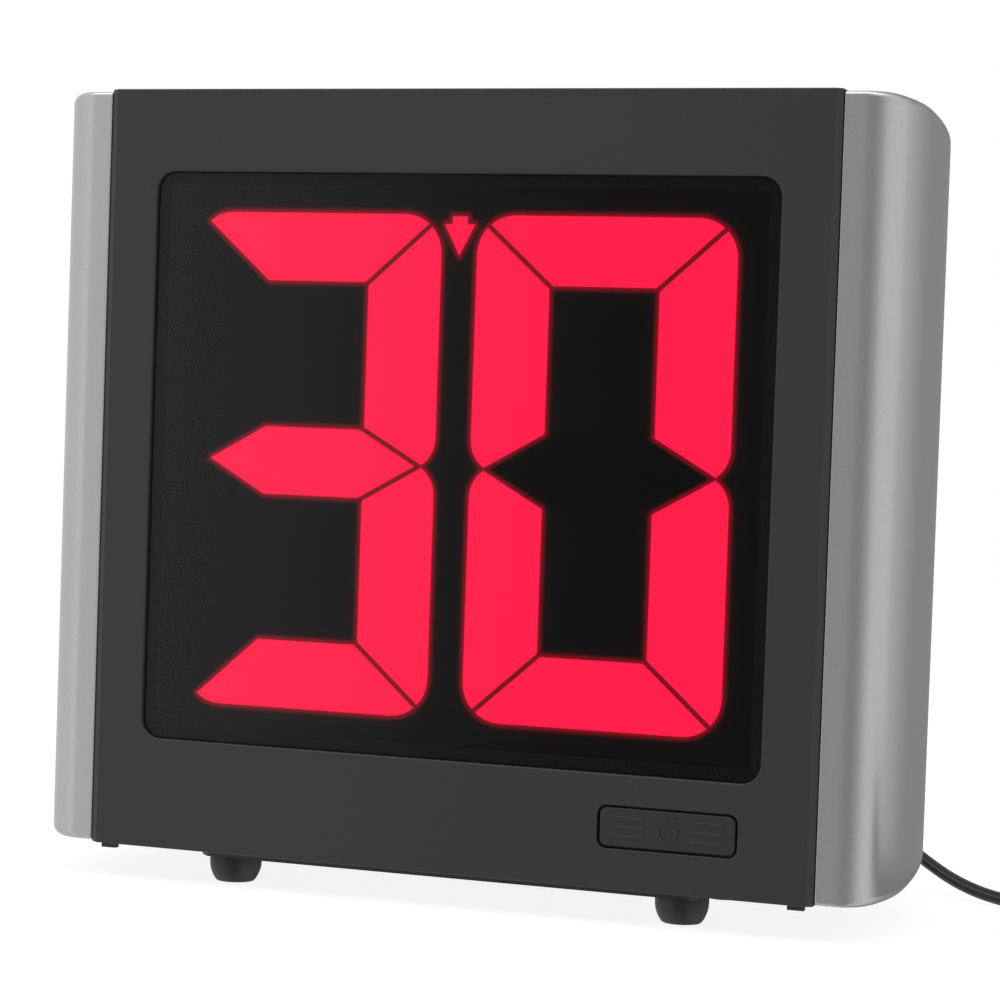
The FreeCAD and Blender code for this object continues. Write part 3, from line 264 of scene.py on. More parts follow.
def glowing(name, attribute, stops, base, strength):
    """A surface whose glow follows a vertex attribute through a colour ramp."""
    m = bpy.data.materials.new(name)
    m.use_nodes = True
    tree = m.node_tree
    b = tree.nodes["Principled BSDF"]
    b.inputs["Base Color"].default_value = (*base, 1)
    b.inputs["Roughness"].default_value = 0.6
    b.inputs["Specular IOR Level"].default_value = 0.2
    value = tree.nodes.new("ShaderNodeAttribute")
    value.attribute_name = attribute
    ramp = tree.nodes.new("ShaderNodeValToRGB")
    elements = ramp.color_ramp.elements
    while len(elements) < len(stops):
        elements.new(0.5)
    for element, (position, colour) in zip(elements, stops):
        element.position = position
        element.color = (*colour, 1)
    tree.links.new(value.outputs["Fac"], ramp.inputs["Fac"])
    tree.links.new(ramp.outputs["Color"], b.inputs["Emission Color"])
    b.inputs["Emission Strength"].default_value = strength
    return m


LENS_TINT = 0.67  # share of the light that each face of the lens lets through
GLOW_STRENGTH = 2.23  # about 1 / LENS_TINT squared, so that the lit digits reach full brightness
NO_LIGHT = (0.0, 0.0, 0.0)
DARK_FACE = (0.003, 0.003, 0.003)
LIT = glowing(
    "lit segment",
    "inward",
    [(0.0, (1.0, 0.0, 0.016)), (0.35, (1.0, 0.002, 0.035)), (1.0, (1.0, 0.008, 0.066))],
    (0.25, 0.01, 0.02),
    GLOW_STRENGTH,
)
GLOW = glowing(
    "light box face",
    "glow",
    [(0.0, NO_LIGHT), (0.3, (0.006, 0.0002, 0.0006)), (1.0, (0.3, 0.0, 0.01))],
    DARK_FACE,
    GLOW_STRENGTH,
)
UNLIT = glowing("unlit segment", "inward", [(0.0, NO_LIGHT), (1.0, NO_LIGHT)], DARK_FACE, 1.0)


def smoked_lens():
    """Thin smoked acrylic: lets the glow through and mirrors a little of the room."""
    m = bpy.data.materials.new("smoked lens")
    m.use_nodes = True
    tree = m.node_tree
    tree.nodes.clear()
    out = tree.nodes.new("ShaderNodeOutputMaterial")
    mix = tree.nodes.new("ShaderNodeMixShader")
    fresnel = tree.nodes.new("ShaderNodeFresnel")
    fresnel.inputs["IOR"].default_value = 1.35
    clear = tree.nodes.new("ShaderNodeBsdfTransparent")
    clear.inputs["Color"].default_value = (LENS_TINT, LENS_TINT, LENS_TINT, 1)
    gloss = tree.nodes.new("ShaderNodeBsdfGlossy")
    gloss.inputs["Roughness"].default_value = 0.16
    tree.links.new(fresnel.outputs["Fac"], mix.inputs["Fac"])
    tree.links.new(clear.outputs["BSDF"], mix.inputs[1])
    tree.links.new(gloss.outputs["BSDF"], mix.inputs[2])
    tree.links.new(mix.outputs["Shader"], out.inputs["Surface"])
    return m


LENS = smoked_lens()


# Front bezel


def bezel():
    b = Build()
    edge, lip, button_lip = 0.5, 0.45, 0.3  # rounded edges: outside, round the window, round the button
    flat_x = HALF_W - BEVEL_W
    plan = [
        (-HALF_W, BEZEL_D),
        (-HALF_W, BEVEL_D),
        (-flat_x, 0.0),
        (flat_x, 0.0),
        (HALF_W, BEVEL_D),
        (HALF_W, BEZEL_D),
    ]
    plan = fillet(plan, [0.6, 0.5, 0.5, 0.6], 4)
    middle = len(plan) // 2
    front_x = plan[middle][0]
    normals = path_normals(plan)
    insets = rounding(edge)
    rows = [(i, BASE + h) for i, h in insets] + [(i, TOP - h) for i, h in reversed(insets)]
    # the two sides, with their bevels
    for half in (slice(0, middle), slice(middle, None)):
        points = list(zip(plan[half], normals[half]))
        b.loft([[(x - nx * i, d - nd * i, z) for (x, d), (nx, nd) in points] for i, z in rows], False)
    # the rounded top and lower edges of the front, and the top and bottom
    for z, inwards in ((TOP, -1), (BASE, 1)):
        strip = [[(-front_x, i, z + inwards * h), (front_x, i, z + inwards * h)] for i, h in insets]
        b.loft(strip, False)
        inner = [(x - nx * edge, d - nd * edge, z) for (x, d), (nx, nd) in zip(plan, normals)]
        b.faces.append(tuple(b.add(inner)))

    def window(grown, r=None):
        return rrect(0, WINDOW_Z, WINDOW_W + 2 * grown, WINDOW_H + 2 * grown, r or WINDOW_R + grown, 10)

    def reset(grown):
        return rrect(RESET_X, RESET_Z, RESET_W + 2 * grown, RESET_H + 2 * grown, RESET_R + grown)

    low, high = BASE + edge, TOP - edge
    outline = [(-front_x, low), (front_x, low), (front_x, high), (-front_x, high)]
    b.flat([outline, window(lip), reset(button_lip)], 0)
    rings = [ring(window(i), h) for i, h in rounding(lip)]
    rings.append(ring(window(0), LEDGE_D))
    rings.append(ring(window(-LEDGE_W, 2.0), LEDGE_D))
    rings.append(ring(window(-LEDGE_W, 2.0), BEZEL_WALL))
    b.loft(rings)
    pocket_w, pocket_h, pocket_d = 50, 20, 2.6  # where the button's flange moves
    rings = [ring(reset(i), h) for i, h in rounding(button_lip)]
    rings.append(ring(reset(0), pocket_d))
    rings.append(ring(rrect(RESET_X, RESET_Z, pocket_w, pocket_h, RESET_R), pocket_d))
    b.loft(rings)
    # two small tabs under the lower corners
    for side in SIDES:
        x0, x1 = sorted(side * x for x in TAB_X)
        b.box(x0, x1, *TAB_D, BASE - 1.6, BASE + 0.2)
    return b.make("bezel", BEZEL, replaces=["front_bezel"])


def path_normals(path):
    """Outward normals of an open plan path that runs clockwise seen from above."""
    out = []
    for i, p in enumerate(path):
        a, c = Vector(path[max(i - 1, 0)]), Vector(path[min(i + 1, len(path) - 1)])
        t = (c - a).normalized()
        out.append((t.y, -t.x))
    return out


# Side cheeks


def cheek_path():
    """Plan outline as (distance out from the case, depth), from the gap round to the rear: a flat front
    strip, a round shoulder, a wider curve, a long side that draws in, and a rounded rear corner."""
    flat, shoulder_r, side_r, rear_r = 6.4, 12.0, 288.0, 3.0
    turn = math.radians(71.3)
    sin, cos = math.sin(turn), math.cos(turn)
    wide_r = (CHEEK_REACH - flat - shoulder_r * sin) / (1 - sin)
    shoulder = (flat, CHEEK_SETBACK + shoulder_r)
    wide = (shoulder[0] - (wide_r - shoulder_r) * sin, shoulder[1] + (wide_r - shoulder_r) * cos)
    side = (CHEEK_REACH - side_r, wide[1])
    end = math.asin((DEPTH - rear_r - side[1]) / (side_r - rear_r))
    rear = (side[0] + (side_r - rear_r) * math.cos(end), side[1] + (side_r - rear_r) * math.sin(end))

    def bend(centre, r, angles):
        return [(centre[0] + r * math.sin(a), centre[1] - r * math.cos(a)) for a in angles]

    quarter = math.pi / 2
    path = [(CHEEK_GAP, CHEEK_SETBACK + 6.0), (CHEEK_GAP, CHEEK_SETBACK + 0.25)]
    path += bend((0.5, CHEEK_SETBACK + 0.25), 0.25, np.linspace(0.4, 1.57, 4) - quarter)
    path += [(x, CHEEK_SETBACK) for x in np.linspace(1.2, flat, 4)]
    path += bend(shoulder, shoulder_r, np.linspace(0, turn, 22)[1:])
    path += bend(wide, wide_r, np.linspace(turn, quarter, 18)[1:])
    path += bend(side, side_r, np.linspace(quarter, quarter + end, 22)[1:])
    path += bend(rear, rear_r, np.linspace(quarter + end, math.pi, 12)[1:])
    path += [(x, DEPTH) for x in np.linspace(rear[0], 0, 4)[1:]]
    return path


def cheek(name, side):
    path = cheek_path()
    normals = path_normals(path)
    b = Build()
    rear_r = 5.0
    front_edge, side_edge = 1.3, 3.0  # rounding of the top and lower edges
    full_turn = 1.05  # radians round from the front where that rounding reaches its full size
    heights = np.linspace(0, 1, 12)[1:-1]

    def draw_in(d, start, slope):
        """How far the top or underside lies inside the case's at a depth, rounded off at the rear."""
        over = min(max(d - (DEPTH - rear_r), 0), rear_r - 0.001)
        along = (d - CHEEK_SETBACK) / (DEPTH - CHEEK_SETBACK)
        return start + slope * along + rear_r - math.sqrt(rear_r**2 - over**2)

    def column(u, d, nu, nd):
        """The points of one upright line, from the top down."""
        if nu < 0:
            nu, nd = 0, -1
        edge = front_edge + (side_edge - front_edge) * min(1, math.atan2(nu, -nd) / full_turn)
        low = BASE + draw_in(d, CHEEK_RAISE, CHEEK_LIFT)
        high = TOP - draw_in(d, CHEEK_INSET, CHEEK_TAPER)
        steps = rounding(edge, 9)
        top = [(u - nu * i, d - nd * i, high - h) for i, h in steps]
        between = [(u, d, high - edge - (high - low - 2 * edge) * s) for s in heights]
        bottom = [(u - nu * i, d - nd * i, low + h) for i, h in reversed(steps)]
        return top + between + bottom

    def placed(u, d, z):
        return (side * (HALF_W + u), d, z)

    rows = list(zip(*[column(u, d, *n) for (u, d), n in zip(path, normals)]))
    b.loft([[placed(*p) for p in row] for row in rows], False)
    for row in (rows[0], rows[-1]):
        # closes the top and the underside against the case, and leaves the gap by the bezel
        inner = [placed(CHEEK_GAP if d < CHEEK_SETBACK + 6.0 else 0.0, d, z) for _, d, z in row]
        b.loft([[placed(*p) for p in row], inner], False)
    return b.make(name, SILVER, replaces=[name.replace("_panel", "_cheek")], angle=50)


# Window


def lens():
    b = Build()
    w, h, r = WINDOW_W - 2 * LENS_GAP, WINDOW_H - 2 * LENS_GAP, WINDOW_R - LENS_GAP
    rings = []
    for i, k in rounding(0.2, 3):
        rings.append(ring(rrect(0, WINDOW_Z, w - 2 * i, h - 2 * i, r - i, 10), LENS_D + k))
    rings.append(ring(rrect(0, WINDOW_Z, w, h, r, 10), LEDGE_D))
    b.loft(rings, True, True, True)
    return b.make("window_lens", LENS, replaces=["display_lens"])


def clip(poly, point, normal):
    """The part of a polygon on the side of a line that normal points to."""
    out = []
    n = len(poly)
    side = [(p[0] - point[0]) * normal[0] + (p[1] - point[1]) * normal[1] for p in poly]
    for i in range(n):
        j = (i + 1) % n
        if side[i] >= 0:
            out.append(poly[i])
        if (side[i] >= 0) != (side[j] >= 0):
            t = side[i] / (side[i] - side[j])
            out.append(tuple(poly[i][k] + t * (poly[j][k] - poly[i][k]) for k in (0, 1)))
    return out


def arc(cx, cz, r, a0, a1, n=8):
    """Points round a centre between two angles in degrees."""
    angles = [math.radians(a0 + (a1 - a0) * i / n) for i in range(n + 1)]
    return [(cx + r * math.cos(a), cz + r * math.sin(a)) for a in angles]


def segment_outlines():
    """The seven segments of a digit about the origin, as (x, z) outlines.

    A digit is a rounded frame drawn in to a waist at its middle, with a bar across. It is cut into
    segments by lines from the corners of its openings to its outline."""
    w, h = DIGIT_W / 2, DIGIT_H / 2
    stroke, bar, gap = 23.5, 21.0, 1.5  # upright and level strokes, and the gap between segments
    corner_r, waist_r, tip = 12.0, 10.0, 5.1  # tip is how far the waist draws in
    waist_z = math.sqrt(waist_r**2 - (waist_r - tip) ** 2)
    opening_x, opening_low, opening_high = w - stroke, bar / 2, h - bar
    corner = arc(w - corner_r, h - corner_r, corner_r, 0, 90)
    waist = arc(w - waist_r, waist_z, waist_r, -math.degrees(math.asin(waist_z / waist_r)), 0)
    bar_end = (w - tip, 0)

    def cut(a, b, poly, keep):
        """The part of poly on one side of the line from a to b, less half the gap."""
        dx, dz = b[0] - a[0], b[1] - a[1]
        length = math.hypot(dx, dz)
        n = (-dz / length * keep, dx / length * keep)
        return clip(poly, (a[0] + n[0] * gap / 2, a[1] + n[1] * gap / 2), n)

    def flip(poly):
        return [(x, -z) for x, z in reversed(poly)]

    def mirror(poly):
        return [(-x, z) for x, z in reversed(poly)]

    high, low = (opening_x, opening_high), (opening_x, opening_low)
    top = corner + mirror(corner) + [(-opening_x, opening_high), high]
    top = cut(high, (w, h), top, 1)
    top = cut((-opening_x, opening_high), (-w, h), top, -1)
    right = cut(high, (w, h), waist + corner + [high, low], -1)
    right = cut(low, bar_end, right, 1)
    half_bar = [(0, opening_low), (-opening_x, opening_low), (-bar_end[0], 0), (0, 0), bar_end, low]
    half_bar = cut(low, bar_end, half_bar, -1)
    half_bar = cut((-opening_x, opening_low), (-bar_end[0], 0), half_bar, 1)
    upper = {(round(x, 6), round(z, 6)) for x, z in half_bar if z > 1e-6 or abs(x) > opening_x}
    upper = sorted(upper, key=lambda p: -p[0])
    middle = upper + [(x, -z) for x, z in reversed(upper) if z > 1e-6]
    left = mirror(right)
    return {"a": top, "b": right, "f": left, "g": middle, "d": flip(top), "c": flip(right), "e": flip(left)}


def glow_face(name, outline, finish, node, d=SEGMENT_D):
    """A light-up window, with an attribute that grows inwards from its edge."""
    back_d = 4.9
    bm = bmesh.new()
    clean = []
    for p in outline:
        if not clean or math.dist(p, clean[-1]) > 0.05:
            clean.append(p)
    if math.dist(clean[0], clean[-1]) < 0.05:
        clean.pop()
    face = bm.faces.new([bm.verts.new(at(x, d, z)) for x, z in clean])
    layer = bm.verts.layers.float.new("inward")
    for v in bm.verts:
        v[layer] = 0.0
    # two borders, and the value of the attribute at the inner side of each
    for thickness, value in ((0.7, 0.35), (1.1, 1.0)):
        bmesh.ops.inset_region(bm, faces=[face], thickness=thickness / 1000, use_even_offset=True)
        for v in face.verts:
            v[layer] = value
    bmesh.ops.triangulate(bm, faces=[face])
    # the window's sides
    rim = [e for e in bm.edges if e.is_boundary]
    made = bmesh.ops.extrude_edge_only(bm, edges=rim)["geom"]
    for v in made:
        if isinstance(v, bmesh.types.BMVert):
            v.co.y = at(0, back_d, 0).y
    bmesh.ops.recalc_face_normals(bm, faces=bm.faces)
    mesh = bpy.data.meshes.new(name)
    bm.to_mesh(mesh)
    bm.free()
    return finish_mesh(name, mesh, finish, "case", [node], weighted=False)


def distance_field(points, outlines):
    """Shortest distance from each point to the nearest lit outline, 0 inside."""
    best = np.full(len(points), 1e9)
    inside = np.zeros(len(points), bool)
    for poly in outlines:
        a = np.array(poly)
        c = np.roll(a, -1, axis=0)
        odd = np.zeros(len(points), bool)
        for p, q in zip(a, c):
            e = q - p
            t = np.clip(((points - p) @ e) / max(e @ e, 1e-12), 0, 1)
            best = np.minimum(best, np.linalg.norm(points - p - t[:, None] * e, axis=1))
            if abs(q[1] - p[1]) > 1e-12:
                crosses = (p[1] > points[:, 1]) != (q[1] > points[:, 1])
                odd ^= crosses & (points[:, 0] < p[0] + (points[:, 1] - p[1]) * e[0] / e[1])
        inside |= odd
    best[inside] = 0
    return best


def arrow_outline():
    """A small arrow that points down between the tops of the digits."""
    top = WINDOW_Z + DIGIT_H / 2 - 0.5
    stem, wing, stem_h, arrow_h = 2.4, 4.9, 2.4, 11.8
    right = [(stem, top), (stem, top - stem_h), (wing, top - stem_h), (0, top - arrow_h)]
    return right + [(-x, z) for x, z in right[2::-1]]


def light_box(lit):
    """The black face round the segments, with a glow that fades with the distance from the lit ones."""
    b = Build()
    columns, rows, fade = 190, 168, 1.5
    low, high = WINDOW_Z - LIGHT_BOX_H / 2, WINDOW_Z + LIGHT_BOX_H / 2
    xs = np.linspace(-LIGHT_BOX_W / 2, LIGHT_BOX_W / 2, columns)
    b.loft([[(x, LIGHT_BOX_D, z) for x in xs] for z in np.linspace(low, high, rows)], False)
    b.box(-LIGHT_BOX_W / 2, LIGHT_BOX_W / 2, LIGHT_BOX_D + 0.05, 15.9, low, high)
    obj = b.make("light_box_front", GLOW, replaces=["light_box"], weighted=False)
    mesh = obj.data
    co = np.empty(len(mesh.vertices) * 3)
    mesh.vertices.foreach_get("co", co)
    co = co.reshape(-1, 3) * 1000
    value = np.exp(-distance_field(co[:, [0, 2]], lit) / fade)
    value[co[:, 1] > FRONT + LIGHT_BOX_D + 0.02] = 0
    attribute = mesh.attributes.new("glow", "FLOAT", "POINT")
    attribute.data.foreach_set("value", value.astype(np.float32))


def display():
    """Shows 30, with the arrow lit."""
    lit_letters = {"tens": "abcdg", "units": "abcdef"}
    lit = []
    for digit, x0 in (("tens", -DIGIT_X), ("units", DIGIT_X)):
        for letter, outline in sorted(segment_outlines().items()):
            moved = [(x + x0, z + WINDOW_Z) for x, z in outline]
            node = f"{digit}_segment_{letter}"
            if letter in lit_letters[digit]:
                glow_face(f"{digit}_glow_{letter}", moved, LIT, node)
                lit.append(moved)
            else:
                glow_face(f"{digit}_dark_{letter}", moved, UNLIT, node, LIGHT_BOX_D)
    arrow = arrow_outline()
    glow_face("arrow_glow", arrow, LIT, "countdown_arrow")
    lit.append(arrow)
    light_box(lit)


# Reset button


def restart_sign(b, top_d, root_d):
    """A raised ring broken by an arrowhead, the usual sign for starting again."""
    r, half_stroke, start, sweep = 3.0, 0.6, 70, 300  # the last two in degrees
    outer = arc(RESET_X, RESET_Z, r + half_stroke, start, start + sweep, 30)
    inner = arc(RESET_X, RESET_Z, r - half_stroke, start, start + sweep, 30)
    loop = outer + inner[::-1]
    n = len(loop)
    low, high = b.add(ring(loop, root_d)), b.add(ring(loop, top_d))
    for i in range(n):
        j = (i + 1) % n
        b.faces.append((low[i], low[j], high[j], high[i]))
    for i in range(n // 2 - 1):
        b.faces.append((high[i], high[i + 1], high[n - 2 - i], high[n - 1 - i]))
    a = math.radians(start)
    radial = Vector((math.cos(a), math.sin(a)))
    along = Vector((math.sin(a), -math.cos(a)))
    root = Vector((RESET_X, RESET_Z)) + radial * r
    head = [tuple(p) for p in (root + radial * 1.7, root + along * 2.6, root - radial * 1.7)]
    b.loft([ring(head, root_d), ring(head, top_d)], True, False, True)


def reset_button():
    b = Build()
    gap, face_d, flange_d, back_d = 0.7, 0.35, 2.7, 4.3
    mark_d, root_d = 0.05, face_d + 0.01  # front and foot of the raised marks
    w, h, r = RESET_W - 2 * gap, RESET_H - 2 * gap, RESET_R - gap
    rings = []
    for i, k in rounding(0.45):
        rings.append(ring(rrect(RESET_X, RESET_Z, w - 2 * i, h - 2 * i, r - i), face_d + k))
    rings.append(ring(rrect(RESET_X, RESET_Z, w, h, r), flange_d))
    b.loft(rings, True, True, False)
    # the flange behind the bezel, and the stem that presses the plunger
    half_w, half_h = RESET_W / 2 + 2.0, RESET_H / 2 + 2.0
    b.box(RESET_X - half_w, RESET_X + half_w, flange_d, back_d, RESET_Z - half_h, RESET_Z + half_h)
    stem = arc(RESET_X, RESET_Z, 3.0, 0, 345, 23)
    b.loft([ring(stem, back_d), ring(stem, 7.0)], True, True, True)
    # three raised ridges on each side of the sign
    ridge_w, ridge_h, ridge_r, pitch = 10.5, 1.2, 0.58, 2.8
    for side in SIDES:
        x = RESET_X + side * (RESET_W / 4 + 1.3)
        for row in (-1, 0, 1):
            z = RESET_Z + row * pitch
            rings = [ring(rrect(x, z, ridge_w, ridge_h, ridge_r, 4), root_d)]
            for i, k in reversed(rounding(0.25, 3)):
                top = rrect(x, z, ridge_w - 2 * i, ridge_h - 2 * i, ridge_r - i * 0.9, 4)
                rings.append(ring(top, mark_d + k))
            b.loft(rings, True, False, True)
    restart_sign(b, mark_d, root_d)
    return b.make("reset_cap", BUTTON, "reset_button_body", ["reset_button"])


# Feet


def lathe(b, profile, place, steps=48):
    """Turns (radius, height) points about an axis; place maps (a, b, height) to the model."""
    turns = np.linspace(0, 2 * math.pi, steps + 1)[:-1]
    rings = [[place(r * math.cos(t), r * math.sin(t), h) for t in turns] for r, h in profile]
    b.loft(rings, True, profile[0][0] > 0, profile[-1][0] > 0)


def feet():
    """Rubber feet, each with a groove that holds it in the base plate."""
    tread = [(5.5, 0.0), (5.95, 0.07), (6.25, 0.35), (6.85, 1.2), (7.45, 2.4), (7.9, 3.7), (8.15, 5.0)]
    shoulder = [(8.2, 6.2), (8.2, 8.0), (7.9, 8.45)]
    groove = [(3.0, 8.5), (3.0, 10.7), (4.2, 10.7), (4.2, 12.2)]
    for hand, x in (("left", -FOOT_X), ("right", FOOT_X)):
        for row, d in zip(("front", "rear"), FOOT_D):
            b = Build()
            lathe(b, tread + shoulder + groove, lambda p, q, h, x=x, d=d: (x + p, d + q, h))
            name = f"{row}_{hand}"
            b.make(f"rubber_foot_{name}", RUBBER, replaces=[f"foot_{name}"])


# Rear keys


def rear_keys():
    """Three keys in a row at the rear, each with a dished end that a fingertip finds."""
    stem = [(1.7, 71.9), (1.7, 78.2), (5.3, 78.2), (5.3, 79.4), (4.0, 79.4), (4.0, 82.9)]
    end = [(3.88, 83.1), (3.6, 83.2), (3.0, 83.1), (1.6, 82.95), (0.01, 82.9)]
    for i, name in enumerate(("time_up", "time_down", "start_stop")):
        b = Build()
        lathe(b, stem + end, lambda p, q, h, x=i * KEY_PITCH: (x + p, h, KEY_Z + q))
        b.make(f"{name}_cap", BUTTON, f"{name}_body", [f"{name}_key"])


# Power lead


def plug():
    """The round plug in the rear jack: a grip with two grooves, then a ribbed strain relief."""
    b = Build()
    curve = [(4.3, 0), (4.8, 0.3), (4.9, 0.8), (4.9, 3.0), (4.6, 3.3)]
    curve += [(4.6, 3.9), (4.9, 4.2), (4.9, 14.0), (4.6, 14.8), (3.9, 15.0)]
    for k in range(4):
        h = 15.3 + k * 1.7
        r = 3.7 - k * 0.22
        curve += [(r, h), (r, h + 0.9), (r - 0.5, h + 1.1), (r - 0.5, h + 1.5)]
    curve.append((2.3, 22.0))
    lathe(b, curve, lambda p, q, h: (PLUG_X + p, PLUG_D + h, PLUG_Z + q), 40)
    return b.make("plug_body", CORD, replaces=["dc_plug"])


# The lead's route on each side of its coil, in the frame's millimetres
LEAD = [
    (97.0, 62.3, 25.6),
    (97.4, 69.6, 25.2),
    (101.0, 76.0, 23.4),
    (107.6, 79.6, 20.6),
    (115.0, 79.2, 16.9),
    (122.2, 75.6, 13.0),
    (130.5, 69.8, 8.9),
    (140.0, 62.8, 5.2),
    (151.5, 55.0, 2.8),
    (165.0, 47.6, 2.2),
    (181.0, 42.6, 2.2),
]
TAIL = [
    (214.0, 42.5, 5.0),
    (228.0, 44.0, 2.9),
    (240.5, 43.4, 2.2),
    (250.0, 37.6, 3.4),
    (254.0, 29.0, 6.2),
    (254.0, 19.0, 8.0),
]


def coil_points():
    """Eleven turns, clockwise seen from above: a spiral in on the surface, then out on top of it."""
    cx, cy, outer, inner, turns = 200.0, 12.4, 29.5, 17.5, 5.5
    surface, layer_h = 2.15, 4.25
    steps, ramp = 16, 8  # points in a turn, and points over which the lead climbs to the upper layer
    total = int(turns * steps)
    points = []
    for layer in (0, 1):
        for k in range(total + 1):
            s = k / total
            r = outer + (inner - outer) * (s if layer == 0 else 1 - s)
            a = math.pi / 2 - 2 * math.pi * (k / steps) - layer * math.pi
            z = surface + layer_h * layer
            if layer == 0 and k > total - ramp:
                z += 2.1 * (k - total + ramp) / ramp
            if layer == 1 and k < ramp:
                z -= 2.15 * (1 - k / ramp)
            points.append((cx + r * math.cos(a), cy + r * math.sin(a), z))
    return points


def twin_section():
    """The cross-section of a flat twin lead: two round strands joined side by side."""
    strand_r, offset = 1.07, 1.03
    shape = []
    for angle in np.radians(np.linspace(-148, 148, 13)):
        shape.append((strand_r * math.sin(angle), offset + strand_r * math.cos(angle)))
    shape += [(-x, -y) for x, y in shape]
    section = bpy.data.curves.new("twin lead section", "CURVE")
    section.dimensions = "2D"
    outline = section.splines.new("POLY")
    outline.points.add(len(shape) - 1)
    for p, (x, y) in zip(outline.points, shape):
        p.co = (x / 1000, y / 1000, 0, 1)
    outline.use_cyclic_u = True
    profile = bpy.data.objects.new("twin lead section", section)
    bpy.context.scene.collection.objects.link(profile)
    profile.hide_render = True
    profile.hide_viewport = True
    return profile


def power_cord():
    points = LEAD + coil_points() + TAIL
    curve = bpy.data.curves.new("power_cord", "CURVE")
    curve.dimensions = "3D"
    curve.twist_mode = "Z_UP"
    spline = curve.splines.new("NURBS")
    spline.points.add(len(points) - 1)
    for p, (x, y, z) in zip(spline.points, points):
        p.co = (x / 1000, y / 1000, z / 1000, 1)
    spline.order_u = 3
    spline.use_endpoint_u = True
    spline.resolution_u = 4
    curve.bevel_mode = "OBJECT"
    curve.bevel_object = twin_section()
    curve.use_fill_caps = True
    curve.materials.append(CORD)
    obj = bpy.data.objects.new("power_cord", curve)
    bpy.context.scene.collection.objects.link(obj)
    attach(obj, "case")
    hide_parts("cord_lead", "cord_coil", "cord_tail")
    return obj


# Adapter


def standing(points, z):
    """An outline of frame (x, y) points at a height, for Build."""
    return [(x, y - FRONT, z) for x, y in points]


def adapter_housing():
    """The adapter's housing, with a fine groove where its halves meet."""
    b = Build()
    edge, groove = rounding(2.2, 6), 0.25

    def loop(inset):
        w, l, r = ADAPTER_W - 2 * inset, ADAPTER_L - 2 * inset, 4.0 - inset * 0.6
        return rrect(ADAPTER_X, ADAPTER_Y, w, l, r)

    rings = [standing(loop(i), k) for i, k in edge]
    for inset, z in ((0, 9.8), (groove, 9.95), (groove, 10.25), (0, 10.4)):
        rings.append(standing(loop(inset), z))
    rings += [standing(loop(i), ADAPTER_H - k) for i, k in reversed(edge)]
    b.loft(rings, True, True, True)
    return b.make("adapter_housing", ADAPTER, replaces=["adapter_body"])


def adapter_relief():
    b = Build()
    curve = [(4.1, 12.0), (4.1, 13.4)]
    for k in range(3):
        y = 13.6 + k * 1.7
        r = 3.9 - k * 0.3
        curve += [(r - 0.6, y), (r - 0.6, y + 0.5), (r, y + 0.7), (r, y + 1.5)]
    curve.append((2.4, 19.0))
    lathe(b, curve, lambda p, q, y: (ADAPTER_X + p, y - FRONT, 8.0 + q), 32)
    return b.make("adapter_strain_relief", CORD, replaces=["adapter_relief"])


def adapter_blades():
    """Two flat blades that stand up from the housing, with tapered tips."""
    b = Build()
    spread, y = 6.35, ADAPTER_Y - ADAPTER_L / 2 + 12.0
    corners = ((-1, -1), (1, -1), (1, 1), (-1, 1))
    levels = ((1.5, 6.3, 22.0), (1.5, 6.3, 40.2), (1.0, 5.2, 41.6), (1.0, 3.6, 42.0))
    for side in SIDES:
        x = ADAPTER_X + side * spread
        rings = []
        for thickness, width, z in levels:
            outline = [(x + sx * thickness / 2, y + sy * width / 2) for sx, sy in corners]
            rings.append(standing(outline, z))
        b.loft(rings, True, True, True)
    return b.make("plug_blades", NICKEL, replaces=["adapter_blades"])


# Pieces

bezel()
cheek("left_panel", -1)
cheek("right_panel", 1)
lens()
display()
reset_button()
feet()
rear_keys()
plug_body = plug()
cord = power_cord()
housing = adapter_housing()
relief = adapter_relief()
blades = adapter_blades()

# CAD nodes that are shown as they are

FINISHES = {
    "rear_cover": CASE,
    "base_plate": BLACK,
    "slide_knob": BUTTON,
    "slide_switch": STEEL,
    "reset_plunger": WHITE,
    "reset_switch": BLACK,
    "setting_switches": BLACK,
    "led_board": BOARD,
    "reset_board": BOARD,
    "main_board": BOARD,
    "board_chips": BLACK,
    "capacitor": SLEEVE,
    "piezo_buzzer": BLACK,
    "dc_jack": BLACK,
    "leds": LED_BODY,
    "ribbon_cable": RIBBON,
    "ribbon_headers": WHITE,
    "dc_plug_tip": NICKEL,
}


def finish_cad_nodes():
    for name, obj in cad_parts.items():
        chosen = STEEL if name.endswith("_screws") else FINISHES.get(name)
        if chosen is None:
            continue
        obj.data.materials.clear()
        obj.data.materials.append(chosen)
    for name in ("rear_cover", "base_plate", "slide_knob"):
        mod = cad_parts[name].modifiers.new("edges", "BEVEL")
        mod.width = 0.0003
        mod.segments = 2
        mod.limit_method = "ANGLE"
        mod.angle_limit = math.radians(40)
        mod.harden_normals = True


finish_cad_nodes()

# Light and camera
bpy.context.scene.view_settings.view_transform = "Standard"

# Brightness of the room by heading, in degrees from straight in front, positive to the right
ROOM = [
    (-180, 0.25),
    (-160, 0.6),
    (-135, 0.92),
    (-60, 0.98),
    (-38, 1.25),
    (-29, 1.25),
    (-24, 0.72),
    (-18, 0.12),
    (-13, 0.24),
    (-5, 0.26),
    (18, 0.18),
    (36, 0.5),
    (58, 1.08),
    (112, 1.05),
    (132, 0.8),
    (151, 0.32),
    (180, 0.25),
]


